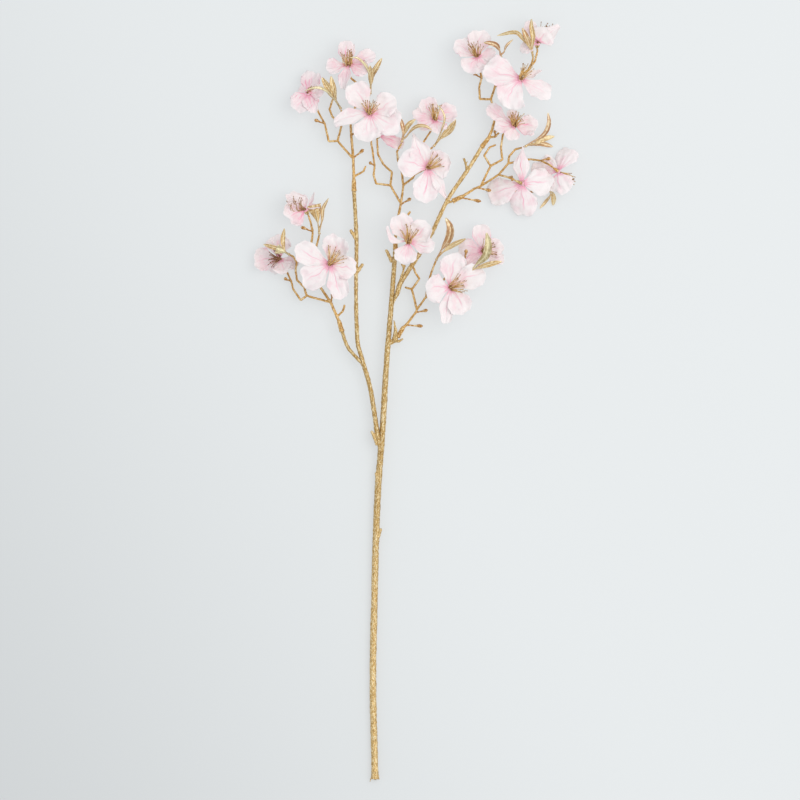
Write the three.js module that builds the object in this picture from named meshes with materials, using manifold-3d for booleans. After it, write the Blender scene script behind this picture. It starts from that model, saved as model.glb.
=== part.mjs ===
// An artificial cherry blossom sprig, lying on a table. Millimetres, +Z up.
//
// A wrapped wire stem carries three wrapped branches. Six moulded twig sets are pushed on to the wire
// ends, and each takes three fabric blossoms and two moulded leaf sprigs. A blossom is one stamped whorl
// of petals, threaded on the peg of its stamens, which sits in the socket of the calyx.
//
// Every place is measured from the middle of the stem's cut foot: x across the spray, y along it towards
// the blossoms, z up from the table.
import * as THREE from "three";
import { mergeVertices } from "three/addons/utils/BufferGeometryUtils.js";
import Module from "manifold-3d";

const wasm = await Module();
wasm.setup();

// ---- Driving dimensions ----
const FIT_GAP = 0.3; // between a piece and its seat
const STEM_STEP = 24; // the most between two rings of a stem
const TWIG_STEP = 12;

const STEM_FOOT_RADIUS = 3.8;
const STEM_RADIUS = 3.2; // above the foot
const STEM_TOP_RADIUS = 2; // at the highest collar
const BRANCH_FOOT_RADIUS = 1.95;
const BRANCH_TOP_RADIUS = 1.75;
const SIDE_BRANCH_RADIUS = 1.6;
const WIRE_RADIUS = 1.1;
const BORE_RADIUS = 1.65; // round a wire, in the stem and in the collars

const COLLAR_RADIUS = 2.8;
const COLLAR_LENGTH = 12;
const COLLAR_BORE_DEPTH = 10;
const WIRE_REACH = 9; // of a wire into its collar
const WIRE_ROOT = 4; // of that wire inside the end of its branch

const SHOOT_RADIUS = 1.5; // a twig set's first twig, where it leaves the collar
const TWIG_RADIUS = 1.1;
const TWIG_TIP_RADIUS = 0.9;
const BUD_RADIUS = 1.6;
const BUD_STALK_RADIUS = 0.85;
const BUD_MIDDLE = 0.78; // of the swelling, as a share of the stalk's length
const BUD_SPAN = 0.16;
const CALYX_LENGTH = 7;
const CALYX_RADIUS = 2.6;

const HUB_RADIUS = 3.2; // the middle of a petal whorl
const HUB_THICKNESS = 0.8;
const PETAL_THICKNESS = 0.6;
const PETAL_START = 2.5; // from the middle of the hub
const PETAL_CUP = 0.16; // how far a petal's sides rise, as a share of its width
const PETAL_NARROW = 0.12; // the width at the hub, as a share of the full width
const PETAL_WIDEST = 0.6; // where the full width is reached, as a share of the length
const PETAL_ROUNDING = 0.14; // how far a petal's corners fall short of its tip
const PEG_RADIUS = 0.8; // of the stamens, through the whorl
const PEG_HOLE_RADIUS = 1.35;
const PEG_LENGTH = 3;
const STAMEN_LENGTH = 12;
const STAMEN_SPREAD = 0.42; // sideways for each unit of length
const STAMENS = 4;
const STAMEN_RADIUS = 0.55;

const LEAF_SLEEVE_RADIUS = 1.5;
const LEAF_SLEEVE_LENGTH = 4;
const LEAF_PEG_RADIUS = 0.5;
const LEAF_PEG_LENGTH = 2.4;
const LEAF_PEG_HOLE_RADIUS = 0.95;
const LEAF_THICKNESS = 1;
const LEAF_STALK_RADIUS = 0.8;
const LEAF_BLADE_START = 0.2; // where the stalk becomes the blade, as a share of the length

// ---- Where the stems run ----
const STEM_LINE = [
  [0, 0, 3.6], [-0.5, 20, 3.6], [-2, 80, 3.7], [-2, 119, 4], [-1, 165, 4.5], [0, 210, 5], [1.2, 250, 6],
  [3, 292, 7], [5.5, 325, 8], [8, 358, 9], [10, 393, 10], [12.5, 431, 11], [15, 460, 11.5], [17, 484, 12],
  [18.5, 505, 13], [20.5, 530, 14],
];
const LEFT_BRANCH_LINE = [
  [1.1, 331, 8], [1.2, 344, 9], [-1, 369, 10], [-5, 393, 10.5], [-13, 421, 11], [-17, 436, 11.5],
  [-18.5, 457, 12], [-19, 508, 12.5], [-18.5, 537, 13], [-21, 588.7, 13],
];
const SIDE_BRANCH_LINE = [[-16.8, 420.8, 11], [-26, 431, 11.5], [-30, 439, 12], [-32.9, 448.2, 12]];
const RIGHT_BRANCH_LINE = [
  [21.5, 480, 12], [22.4, 489, 12], [25.5, 497, 12.5], [33, 509, 13.5], [44, 525.5, 14], [56, 545.5, 14],
  [68, 571, 14.5], [75.5, 585, 15], [94, 612, 15], [106.5, 632.7, 15],
];
// Where each collar takes its wire, and which way the collar points.
const SEATS = {
  a: { at: [-33, 448.5, 12], along: [-0.29, 0.95, 0] },
  b: { at: [-21, 589, 13], along: [-0.02, 1, 0] },
  c: { at: [20.5, 530.3, 14], along: [-0.02, 1, 0] },
  d: { at: [106.7, 633, 15], along: [0.6, 0.8, 0] },
  e: { at: [77.6, 579, 14.8], along: [0.9, 0.43, 0] },
  f: { at: [22.6, 443, 10], along: [0.5, 0.86, 0] },
};

// ---- The blossoms ----
// Each stands at a point and faces a way. A petal is its tip, from the blossom's middle, and its width.
const BLOSSOMS = {
  a1: {
    at: [-69, 573, 24], face: [-0.35, 0.75, 0.55],
    petals: [[-16, 11, 4, 17], [-20, -13, 5, 20], [11, 15, -6, 13], [15, -2, 10, 12], [4, 10, -17, 14]],
  },
  a2: {
    at: [-96, 521.5, 9.5], face: [-0.45, 0.1, 0.89],
    petals: [[-5, 19, 0, 21], [-24, -6, -9, 18], [-10, -16, -3, 13], [4, -16, 6, 15], [17, -8, 8, 11]],
  },
  a3: {
    at: [-45, 515.4, 30], face: [0.05, 0.1, 0.99],
    petals: [[-34, 16, 5, 21], [-25, -19, 3, 24], [10, 26, 6, 24], [24, -7, 2, 20], [13, -34, 4, 20]],
  },
  b1: {
    at: [-67, 687, 20], face: [-0.35, 0.45, 0.82],
    petals: [[5, 23, -4, 19], [-18, 4, -4, 16], [-14, -15, 4, 13], [5, -17, 10, 14], [14, 4, 8, 12]],
  },
  b2: {
    at: [-27, 715.5, 24], face: [0, 0.55, 0.84],
    petals: [[-2, 24, -6, 15], [-21, -4, 4, 16], [-5, -24, 6, 12], [19, -6, 5.5, 16], [26, 9, -3, 14.5]],
  },
  b3: {
    at: [-5, 666.2, 34], face: [0.05, 0.2, 0.98],
    petals: [[-20, 29, 3, 24], [24, 11, 2, 22], [-38, -10, -1, 15], [-4, -27, 6, 26], [29, -15, 4, 26]],
  },
  c1: {
    at: [60.5, 660.6, 20], face: [0.05, 0.45, 0.89],
    petals: [[-12, 22, -4, 16], [-24, 5, 0, 12], [-15, -10, 5, 13], [3, -13, 8, 16], [20, 10, 0, 20]],
  },
  c2: {
    at: [53, 611.7, 32], face: [0.1, 0.1, 0.99],
    petals: [[-16, 33, 4, 15], [-28, 6, 5, 25], [-4, -34, 4, 25], [18, -29, -4, 12], [20, 8, 6, 26]],
  },
  c3: {
    at: [7, 640, 15], face: [0.1, 0.8, 0.59],
    petals: [[21, -7, -3, 11], [-18, -5, 2, 12], [14, 14, -8, 14], [-12, 16, -8, 14]],
  },
  d1: {
    at: [102, 723.7, 24], face: [0, 0.45, 0.89],
    petals: [[-21, 15, -3, 17], [3, 26, -6, 20], [-9, -16, 9, 20], [18, 2, 2, 11], [10, -11, 4, 12]],
  },
  d2: {
    at: [145.4, 700.3, 36], face: [0.15, 0.35, 0.92],
    petals: [[-38, 12, 2, 26], [-14, -28, 8, 26], [29, -18, 4, 19], [21, 8, 0, 12]],
  },
  d3: {
    at: [163, 743, 24], face: [0.1, 0.85, 0.52],
    petals: [[-7, 17, -9, 14], [2, 6, 14, 17], [20, 11, 2, 14], [-21, -2, 2, 13], [10, 12, -15, 15]],
  },
  d4: {
    at: [139.2, 654.7, 23], face: [0.15, 0.35, 0.92],
    petals: [[-26, 17, 0, 15], [-19, 0, 4, 11], [-3, -14, 8, 13], [22, -3, 4, 18], [-3, 16, -2, 11]],
  },
  e1: {
    at: [146.8, 596.6, 19], face: [0.2, -0.08, -0.97],
    petals: [[1, 37, -4, 17], [31, 2, -2, 26], [6, -32, -15, 23], [-33, -13, -18, 24]],
  },
  e2: {
    at: [183.4, 608.5, 17.5], face: [0.45, -0.35, -0.82],
    petals: [[13, 24, -9, 19], [6, -18, 2, 17], [-27, 4, -15, 15], [-15, 14, -13, 9]],
  },
  f1: {
    at: [33.6, 537.7, 34], face: [0, 0.15, 0.99],
    petals: [[-10, 26, 5, 19], [20, 17, 4, 20], [25, -4, 6, 17], [-5, -21, 5, 20], [-22, 12, 8, 10]],
  },
  f2: {
    at: [75.5, 492.1, 31], face: [0.1, 0.05, 0.99],
    petals: [[4, 33, 4, 24], [32, 17, 3, 20], [15, -25, 4, 20], [-4, -36, 2, 14], [-25, -2, 4, 25]],
  },
  f3: {
    at: [107.8, 528.6, 22], face: [0.25, 0.3, 0.92],
    petals: [[-2, 26, -4, 17], [20, 5, 0, 18], [20, -11, 4, 10], [-25, 1, -3, 18], [-16, -16, 2, 11]],
  },
};

// ---- The leaf sprigs ----
// Each is pushed on to a twig's end at its foot. A leaf is a line from the foot to its tip, and a width.
const LEAF_SPRIGS = {
  a1: {
    at: [-55.6, 545.5, 16],
    leaves: [
      { line: [[-57.5, 560, 20], [-61, 574, 22]], width: 10 },
      { line: [[-53, 560, 20], [-52, 571, 22], [-46.5, 581.5, 25]], width: 4 },
    ],
  },
  a2: {
    at: [-85.5, 525.5, 19.5],
    leaves: [
      { line: [[-91, 528, 26], [-100, 532, 28], [-111.5, 535.5, 27]], width: 5 },
      { line: [[-90, 529, 27], [-92, 538, 28], [-90.5, 551.5, 26]], width: 5.5 },
    ],
  },
  b1: {
    at: [-34, 671, 18],
    leaves: [
      { line: [[-40, 681, 22], [-47, 692, 27], [-53, 702, 29]], width: 7 },
      { line: [[-40, 682, 24], [-42, 692, 27], [-44, 703.5, 27]], width: 7 },
      { line: [[-41, 681, 26], [-50, 689.5, 35], [-59, 691.5, 38], [-70, 688.4, 37.5]], width: 3 },
    ],
  },
  b2: {
    at: [-4.8, 685.7, 18],
    leaves: [
      { line: [[-3, 704, 24], [2, 713, 27], [7, 721.5, 28]], width: 5.5 },
      { line: [[-4, 702, 26], [-5, 714, 30]], width: 6 },
      { line: [[-5, 705, 28], [-12, 717, 35], [-19, 721.4, 38], [-26, 721, 38]], width: 3.5 },
    ],
  },
  c2: {
    at: [26.7, 636.9, 23],
    leaves: [
      { line: [[28, 646, 23], [27.6, 654, 23], [24, 664.5, 23]], width: 4.5 },
      { line: [[30, 648, 22], [33.5, 655, 24], [40.5, 660.5, 25]], width: 6 },
      { line: [[31, 643, 25], [37, 650, 29], [43, 653.5, 32], [51, 653, 33], [57, 649.4, 31]], width: 4 },
    ],
  },
  c1: {
    at: [58.3, 633.4, 18],
    leaves: [
      { line: [[67, 643, 20], [76, 652, 22], [80.5, 660.5, 24]], width: 8 },
      {
        line: [[64, 642.5, 24], [67.3, 651.6, 31], [69.6, 661, 34], [67, 669, 35], [61.5, 675, 35]],
        width: 2.6,
      },
    ],
  },
  d1: {
    at: [126, 723, 19.5],
    leaves: [
      { line: [[124.5, 729, 27], [121, 734, 33], [115, 736, 35], [108.5, 736.5, 35]], width: 5 },
      { line: [[129, 728, 22], [131, 733.5, 24], [138, 740.5, 25]], width: 3 },
    ],
  },
  d3: {
    at: [158.4, 722.7, 24],
    leaves: [
      { line: [[154.8, 731, 32], [147, 741, 36], [141, 746.5, 36], [121.8, 743.7, 32]], width: 4.5 },
      { line: [[154, 734.7, 34], [150, 744, 39], [146.8, 751, 39]], width: 6 },
      { line: [[157, 734.3, 33], [157.5, 743, 36], [156, 752, 36], [156.2, 760.2, 34]], width: 5 },
    ],
  },
  e2: {
    at: [149.9, 633.5, 12],
    leaves: [
      { line: [[158.6, 639, 13], [169.8, 646.7, 15], [174, 657, 17], [173, 667.4, 18]], width: 6.5 },
      { line: [[161, 637.6, 11], [169, 641.6, 10], [180, 644.2, 8]], width: 6.5 },
      { line: [[158, 635.5, 9], [166, 637, 6], [178.5, 634, 3]], width: 6 },
    ],
  },
  e1: {
    at: [172, 590.3, 8],
    leaves: [
      { line: [[178, 591, 7], [186, 592, 5], [193.5, 590.8, 3]], width: 5 },
      { line: [[176, 586, 6], [172, 580, 3], [165.2, 572, 2]], width: 4 },
      { line: [[178, 588, 6], [179, 582, 4], [178.5, 575, 2]], width: 5.5 },
    ],
  },
  f1: {
    at: [61, 519.6, 20],
    leaves: [
      { line: [[67, 531, 25], [73.5, 541, 30], [75, 552, 33], [70.6, 561.7, 34]], width: 9 },
      { line: [[68, 528, 23], [76, 533.7, 24], [90.7, 541.2, 26]], width: 5 },
    ],
  },
  f3: {
    at: [91.5, 506.5, 28],
    leaves: [
      { line: [[101, 515, 34], [110.5, 524, 39], [113, 535.5, 41], [111.2, 546.7, 41]], width: 6.5 },
      { line: [[104, 512.5, 33], [116.8, 516.1, 34], [126.7, 518.2, 32]], width: 5.5 },
    ],
  },
};

// ---- The twigs of each set ----
// A twig is a line of points. It ends free, in the calyx of a blossom or at the foot of a leaf sprig.
const TWIG_SETS = {
  a: {
    blossoms: ["a1", "a2", "a3"],
    sprigs: ["a1", "a2"],
    shoot: [[-44, 477, 12], [-57.5, 497, 13], [-60, 515, 14], [-63.5, 537, 14], [-62.3, 549, 14]],
    twigs: [
      { line: [[-62.3, 549, 14], [-64.5, 558, 17]], blossom: "a1" },
      { line: [[-60, 513, 14], [-52, 514, 16], [-46.5, 514.8, 19]], blossom: "a3" },
      { line: [[-60, 523, 14], [-58.7, 533.4, 15]], sprig: "a1" },
      { line: [[-45, 478, 12], [-68.4, 484.3, 12], [-74.4, 480, 11], [-82, 491, 9], [-84, 499, 7],
        [-88.5, 509, 3.5]], blossom: "a2" },
      { line: [[-68.4, 484.3, 12], [-71, 493, 13], [-78, 500, 14], [-79.5, 509, 14], [-78.5, 518, 16],
        [-81.5, 523, 18]], sprig: "a2" },
    ],
    buds: [
      [[-37.5, 464, 12], [-30.2, 474.7, 13]], [[-44, 477, 12], [-42.3, 487.3, 14]],
      [[-62.3, 548.5, 14], [-74.4, 553.3, 16]], [[-84, 499, 7], [-91.4, 502, 9]],
    ],
  },
  b: {
    blossoms: ["b1", "b2", "b3"],
    sprigs: ["b1", "b2"],
    shoot: [[-21.8, 621.5, 13], [-23.8, 644.5, 14], [-24.5, 657, 14], [-18, 680, 14], [-16, 695.5, 14]],
    twigs: [
      { line: [[-16, 695.5, 14], [-24, 702, 14]], blossom: "b2" },
      { line: [[-21, 669, 14], [-12, 664, 16], [-6, 664, 20]], blossom: "b3" },
      { line: [[-18.5, 678, 14], [-9, 681, 15]], sprig: "b2" },
      { line: [[-21.8, 621.5, 13], [-37.5, 639.2, 13], [-46.3, 639, 13], [-50.4, 656.6, 13],
        [-56.6, 668, 12], [-61, 677, 11]], blossom: "b1" },
      { line: [[-37.5, 639.2, 13], [-33.8, 653.6, 14], [-33, 664, 16]], sprig: "b1" },
      { line: [[-33.8, 653.6, 14], [-43, 664.3, 15], [-45.5, 671, 15], [-43, 679, 16]] },
      { line: [[-20.5, 604, 13], [-11.5, 609, 13], [-9.2, 614.5, 13]] },
    ],
    buds: [
      [[-22, 622, 13], [-11, 631, 14]], [[-50.4, 656.6, 13], [-61, 660.7, 13]],
      [[-24, 644.5, 14], [-19, 648.5, 14]],
    ],
  },
  c: {
    blossoms: ["c1", "c2", "c3"],
    sprigs: ["c1", "c2"],
    shoot: [[23, 563, 14.5], [25.7, 575.5, 15], [27.7, 589, 15], [28.5, 597, 15]],
    twigs: [
      { line: [[28.2, 595.6, 15.2], [26.6, 609.5, 15], [23, 619, 16], [22, 628.4, 20]], sprig: "c2" },
      { line: [[28.3, 595, 14.8], [38, 602.5, 15], [45, 618, 14], [48, 637.5, 11], [55, 648, 10]],
        blossom: "c1" },
      { line: [[40, 606, 15], [48, 610, 18]], blossom: "c2" },
      { line: [[46, 622, 14], [52, 628.5, 15]], sprig: "c1" },
      { line: [[25.7, 577, 15], [15.4, 594.7, 15], [1.1, 596.7, 15], [-1.4, 605, 15], [-0.4, 614.5, 15],
        [-2.5, 629.4, 15], [-4, 637, 14]] },
      { line: [[15.4, 594.7, 15], [16.9, 608, 14], [8.3, 616, 12], [3, 626, 9]], blossom: "c3" },
    ],
    buds: [
      [[22.5, 559, 14.5], [35, 567, 17]], [[25.7, 575.5, 15], [36.3, 582, 16]],
      [[-0.4, 614.5, 15], [-6, 618, 17]],
    ],
  },
  d: {
    blossoms: ["d1", "d2", "d3"],
    sprigs: ["d1", "d3"],
    shoot: [[117, 650, 15], [120.3, 662, 15], [118.5, 672, 15], [116, 681, 15]],
    twigs: [
      { line: [[116, 681, 15], [105, 681.2, 15], [104.3, 693.5, 15], [106.8, 703, 15], [104, 712, 16]],
        blossom: "d1" },
      { line: [[116, 681, 15], [121, 696.5, 16], [124, 711, 16]], sprig: "d1" },
      { line: [[120.3, 694, 16], [131, 695, 18], [140, 696, 22]], blossom: "d2" },
      { line: [[131, 695, 18], [142, 702, 18], [153, 710, 18], [160, 719, 18], [162.5, 729, 18]],
        blossom: "d3" },
      { line: [[153, 710, 18], [156.5, 716, 20]], sprig: "d3" },
      { line: [[114.2, 642.7, 15], [120.3, 643.5, 17], [124.6, 648, 19]] },
    ],
    buds: [[[106.8, 702, 15], [97.7, 707.8, 14]], [[120.3, 643.5, 17], [120, 650, 20]]],
  },
  e: {
    blossoms: ["d4", "e1", "e2"],
    sprigs: ["e1", "e2"],
    shoot: [[99.5, 591.4, 15], [105.8, 594, 16]],
    twigs: [
      { line: [[105.8, 594, 16], [115.5, 614.1, 15], [109.3, 624.8, 13], [114.6, 632.9, 11],
        [121.5, 636, 10]] },
      { line: [[115.5, 614.1, 15], [127.4, 620.7, 14], [126, 633, 13], [128, 645.7, 13], [134, 650, 14]],
        blossom: "d4" },
      { line: [[105.8, 594, 16], [123.6, 605.2, 20], [130, 603.5, 24], [138, 600.5, 28]], blossom: "e1" },
      { line: [[123.6, 605.2, 20], [133.4, 616.8, 13], [145, 619.5, 8], [155.5, 621.2, 9],
        [165.5, 619.7, 15], [174.5, 615, 23]], blossom: "e2" },
      { line: [[133.4, 616.8, 13], [134.3, 624, 11], [140.5, 631, 10]], sprig: "e2" },
      { line: [[134, 602.3, 26], [137, 603.5, 15], [137.5, 597, 6], [140, 590, 4], [147, 586, 4],
        [155, 588.5, 5.5]], sprig: "e1" },
    ],
    buds: [
      [[88, 582, 15], [106.4, 578.8, 14]], [[102, 592.5, 15.5], [116.5, 589.3, 16]],
      [[165.5, 619.7, 15], [175.8, 622, 14]],
    ],
  },
  f: {
    blossoms: ["f1", "f2", "f3"],
    sprigs: ["f1", "f3"],
    shoot: [[31.5, 455.5, 10], [40.6, 467.5, 11], [41.9, 471, 11]],
    twigs: [
      { line: [[41.9, 470.5, 11], [37, 491, 9], [44.4, 501.4, 9], [40.4, 507.4, 9], [38, 514, 8.5],
        [33.5, 522, 9], [31.5, 530, 16]], blossom: "f1" },
      { line: [[37, 491, 9], [29.5, 493, 8]] },
      { line: [[41.9, 470.5, 11], [50.3, 482.2, 12], [60, 488, 14], [69, 491, 17]], blossom: "f2" },
      { line: [[51, 483, 12], [53, 495, 14], [56.2, 507.2, 17]], sprig: "f1" },
      { line: [[60, 488, 14], [70, 502, 14], [85, 512, 14], [97, 520, 14]], blossom: "f3" },
      { line: [[70, 502, 14], [82, 502, 17], [88, 503, 22]], sprig: "f3" },
      { line: [[85, 512, 14], [86.5, 515, 17], [87.8, 518.3, 25], [89.8, 521.5, 29]] },
    ],
    buds: [
      [[31, 455, 10], [48.2, 454, 11]], [[40.6, 467.5, 11], [53.1, 470.2, 12]],
      [[89.8, 520, 28.5], [91.2, 530.5, 31]],
    ],
  },
};

// ---- Colours ----
const FINISHES = {
  wrap: { color: 0xcda55a, roughness: 0.5, metalness: 0.4 },
  twig: { color: 0xc88c3c, roughness: 0.4, metalness: 0.5 },
  leaf: { color: 0xc8a05f, roughness: 0.4, metalness: 0.5 },
  petal: { color: 0xfaeeee, roughness: 0.9, metalness: 0 },
  stamen: { color: 0xaa7d3c, roughness: 0.5, metalness: 0.3 },
  steel: { color: 0x8f8f8c, roughness: 0.4, metalness: 1 },
};

// ---- Solids ----
const vector = (place) => new THREE.Vector3(...place);
const beyond = (start, way, distance) => start.clone().addScaledVector(way, distance);

/** A closed geometry as a solid that can be joined and cut. */
function solidOf(geometry) {
  geometry.deleteAttribute("normal");
  geometry.deleteAttribute("uv");
  const merged = mergeVertices(geometry, 1e-4);
  const mesh = new wasm.Mesh({
    numProp: 3,
    vertProperties: new Float32Array(merged.attributes.position.array),
    triVerts: new Uint32Array(merged.index.array),
  });
  return new wasm.Manifold(mesh);
}

const joined = (solids) => solids.reduce((whole, solid) => whole.add(solid));
const cutBy = (solid, tools) => tools.reduce((left, tool) => left.subtract(tool), solid);

/** A named mesh of a solid. */
function meshOf(name, solid, finish) {
  const { vertProperties, triVerts } = solid.getMesh();
  const geometry = new THREE.BufferGeometry();
  geometry.setAttribute("position", new THREE.BufferAttribute(vertProperties, 3));
  geometry.setIndex(new THREE.BufferAttribute(triVerts, 1));
  geometry.computeVertexNormals();
  const mesh = new THREE.Mesh(geometry, new THREE.MeshStandardMaterial(FINISHES[finish]));
  mesh.name = name;
  return mesh;
}

/** The rings of a tube: one at each point of its line, and more where two points are far apart. */
function ringsAlong(points, step) {
  const curve = new THREE.CatmullRomCurve3(points, false, "centripetal");
  const rings = [];
  let normal = new THREE.Vector3(0.3, 0.2, 1);
  const addRing = (share) => {
    const middle = curve.getPoint(share);
    const along = curve.getTangent(share);
    normal = beyond(normal, along, -normal.dot(along)).normalize();
    const covered = rings.length ? rings.at(-1).covered + middle.distanceTo(rings.at(-1).middle) : 0;
    rings.push({ middle, normal, binormal: along.clone().cross(normal), covered });
  };
  addRing(0);
  for (let i = 1; i < points.length; i++) {
    const pieces = Math.max(1, Math.round(points[i].distanceTo(points[i - 1]) / step));
    for (let k = 1; k <= pieces; k++) addRing((i - 1 + k / pieces) / (points.length - 1));
  }
  return rings;
}

/** A tube along a line of points, its radius given for each share of its length. */
function tube(points, radiusAt, sides, step) {
  const rings = ringsAlong(points, step);
  const steps = rings.length - 1;
  const geometry = new THREE.CylinderGeometry(1, 1, 1, sides, steps);
  const places = geometry.attributes.position;
  const place = new THREE.Vector3();
  for (let i = 0; i < places.count; i++) {
    place.fromBufferAttribute(places, i);
    const { middle, normal, binormal, covered } = rings[Math.round((0.5 - place.y) * steps)];
    const radius = radiusAt(covered / rings[steps].covered);
    const moved = middle.clone();
    moved.addScaledVector(normal, place.x * radius);
    moved.addScaledVector(binormal, place.z * radius);
    places.setXYZ(i, moved.x, moved.y, moved.z);
  }
  return solidOf(geometry);
}

/** A straight round rod between two points. */
function rod(start, end, startRadius, endRadius, sides) {
  const along = end.clone().sub(start);
  const geometry = new THREE.CylinderGeometry(endRadius, startRadius, along.length(), sides);
  const up = new THREE.Vector3(0, 1, 0);
  geometry.applyQuaternion(new THREE.Quaternion().setFromUnitVectors(up, along.normalize()));
  const middle = start.clone().add(end).multiplyScalar(0.5);
  geometry.translate(middle.x, middle.y, middle.z);
  return solidOf(geometry);
}

const taper = (start, end) => (share) => THREE.MathUtils.lerp(start, end, share);

/** A thin stalk with a bud at its end. */
function bud([start, end]) {
  const radiusAt = (share) => {
    const swelling = Math.exp(-(((share - BUD_MIDDLE) / BUD_SPAN) ** 2));
    return BUD_STALK_RADIUS + (BUD_RADIUS - BUD_STALK_RADIUS) * swelling - (share === 1 ? 0.3 : 0);
  };
  return tube([vector(start), vector(end)], radiusAt, 4, 3.5);
}

// ---- Stem and branches ----
/** The stem's radius: flared at the foot, thinner towards the top. */
function stemRadius(share) {
  const flare = (STEM_FOOT_RADIUS - STEM_RADIUS) * Math.exp(-share * 60);
  return THREE.MathUtils.lerp(STEM_RADIUS, STEM_TOP_RADIUS, share ** 1.4) + flare;
}

/** The wire peg that a collar is pushed on, from inside the branch's end. */
function collarPeg(seat) {
  const along = vector(seat.along).normalize();
  const start = beyond(vector(seat.at), along, -WIRE_ROOT);
  const end = beyond(vector(seat.at), along, WIRE_REACH);
  return rod(start, end, WIRE_RADIUS, WIRE_RADIUS, 6);
}

/** A point beyond the stem's upper end, towards its collar. */
function aboveStem(distance) {
  return beyond(vector(STEM_LINE.at(-1)), vector(SEATS.c.along).normalize(), distance);
}

function mainStem() {
  const line = STEM_LINE.map(vector);
  const down = line[0].clone().sub(line[1]).normalize();
  const boreLine = [beyond(line[0], down, 3), ...line, aboveStem(3)];
  const bore = tube(boreLine, taper(BORE_RADIUS, BORE_RADIUS), 6, STEM_STEP);
  const bract = tube([[20, 441, 12.5], [20.6, 450, 16], [19.5, 460, 17]].map(vector), taper(1.6, 0.4), 5, 5);
  const stub = tube([[13, 436, 11], [18, 438.8, 11], [21.5, 441, 10.3]].map(vector), taper(2.2, 1.7), 6, 4);
  const thorn = rod(vector([19, 439, 10.5]), vector([27.5, 440.6, 10]), 1.3, 0.5, 5);
  const knobs = [
    [[2.5, 246, 6.5], [6, 252, 9.5]], [[0, 288, 7], [0.2, 296, 10]], [[17, 518, 13.5], [10.8, 531, 14]],
  ].map(bud);
  const wrapped = joined([tube(line, stemRadius, 8, STEM_STEP), stub, bract, thorn, ...knobs]);
  return cutBy(wrapped, [bore]).add(collarPeg(SEATS.f));
}

function stemWire() {
  const line = [...STEM_LINE.map(vector), aboveStem(WIRE_REACH)];
  return tube(line, taper(WIRE_RADIUS, WIRE_RADIUS), 6, STEM_STEP);
}

/** A branch's wrap, from its foot on the stem to its collar. */
function branchWrap(line) {
  return tube(line.map(vector), taper(BRANCH_FOOT_RADIUS, BRANCH_TOP_RADIUS), 7, STEM_STEP);
}

function leftBranch() {
  const buds = [
    [[0, 339, 9.5], [-4.5, 350, 12]], [[-18.6, 507, 12.5], [-12, 516.6, 14]],
    [[-18.8, 541, 13], [-25, 550.5, 14]],
  ].map(bud);
  return joined([branchWrap(LEFT_BRANCH_LINE), collarPeg(SEATS.b), ...buds]);
}

function leftSideBranch() {
  const radius = taper(SIDE_BRANCH_RADIUS, SIDE_BRANCH_RADIUS);
  return tube(SIDE_BRANCH_LINE.map(vector), radius, 7, STEM_STEP).add(collarPeg(SEATS.a));
}

function rightBranch() {
  const spur = [[23.5, 492, 12.5], [25.5, 501, 16], [28, 508, 17.5], [29.5, 514, 18]].map(vector);
  const tips = [[29.5, 513, 18], [26.7, 517, 18]];
  const buds = [[[92, 610, 15], [89.2, 622, 16]], tips].map(bud);
  const stub = rod(vector([71.5, 577, 14.6]), vector([80, 580.1, 14.8]), 1.4, WIRE_RADIUS, 6);
  const wrapped = branchWrap(RIGHT_BRANCH_LINE);
  return joined([wrapped, tube(spur, taper(1.2, 1), 5, 6), collarPeg(SEATS.d), stub, ...buds]);
}

// ---- Twig sets ----
const faceOf = (blossom) => vector(blossom.face).normalize();
const calyxFoot = (blossom) => beyond(vector(blossom.at), faceOf(blossom), -CALYX_LENGTH);

/** The way a leaf sprig's sleeve points, from its foot to where its first leaf bends. */
const sleeveWay = (sprig) => vector(sprig.leaves[0].line[0]).sub(vector(sprig.at)).normalize();

/** A calyx, widening to the whorl that it carries. */
function calyx(blossom) {
  const top = beyond(vector(blossom.at), faceOf(blossom), -HUB_THICKNESS / 2 - FIT_GAP);
  return rod(calyxFoot(blossom), top, TWIG_RADIUS, CALYX_RADIUS, 5);
}

/** The socket in a calyx for the peg of the stamens. */
function calyxSocket(blossom) {
  const middle = vector(blossom.at);
  const face = faceOf(blossom);
  const deep = beyond(middle, face, -PEG_LENGTH - 0.8);
  return rod(deep, beyond(middle, face, 2), PEG_HOLE_RADIUS, PEG_HOLE_RADIUS, 4);
}

/** One twig, with the point where it meets its blossom or its leaf sprig. */
function twig({ line, blossom, sprig }, thickness) {
  const points = line.map(vector);
  if (blossom) points.push(calyxFoot(BLOSSOMS[blossom]));
  if (sprig) points.push(vector(LEAF_SPRIGS[sprig].at));
  return tube(points, taper(thickness, TWIG_TIP_RADIUS), 4, TWIG_STEP);
}

/** The peg at a twig's end that a leaf sprig is pushed on. */
function leafPeg(sprig) {
  const foot = vector(sprig.at);
  const way = sleeveWay(sprig);
  return rod(beyond(foot, way, -1), beyond(foot, way, LEAF_PEG_LENGTH), LEAF_PEG_RADIUS, LEAF_PEG_RADIUS, 3);
}

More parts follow.
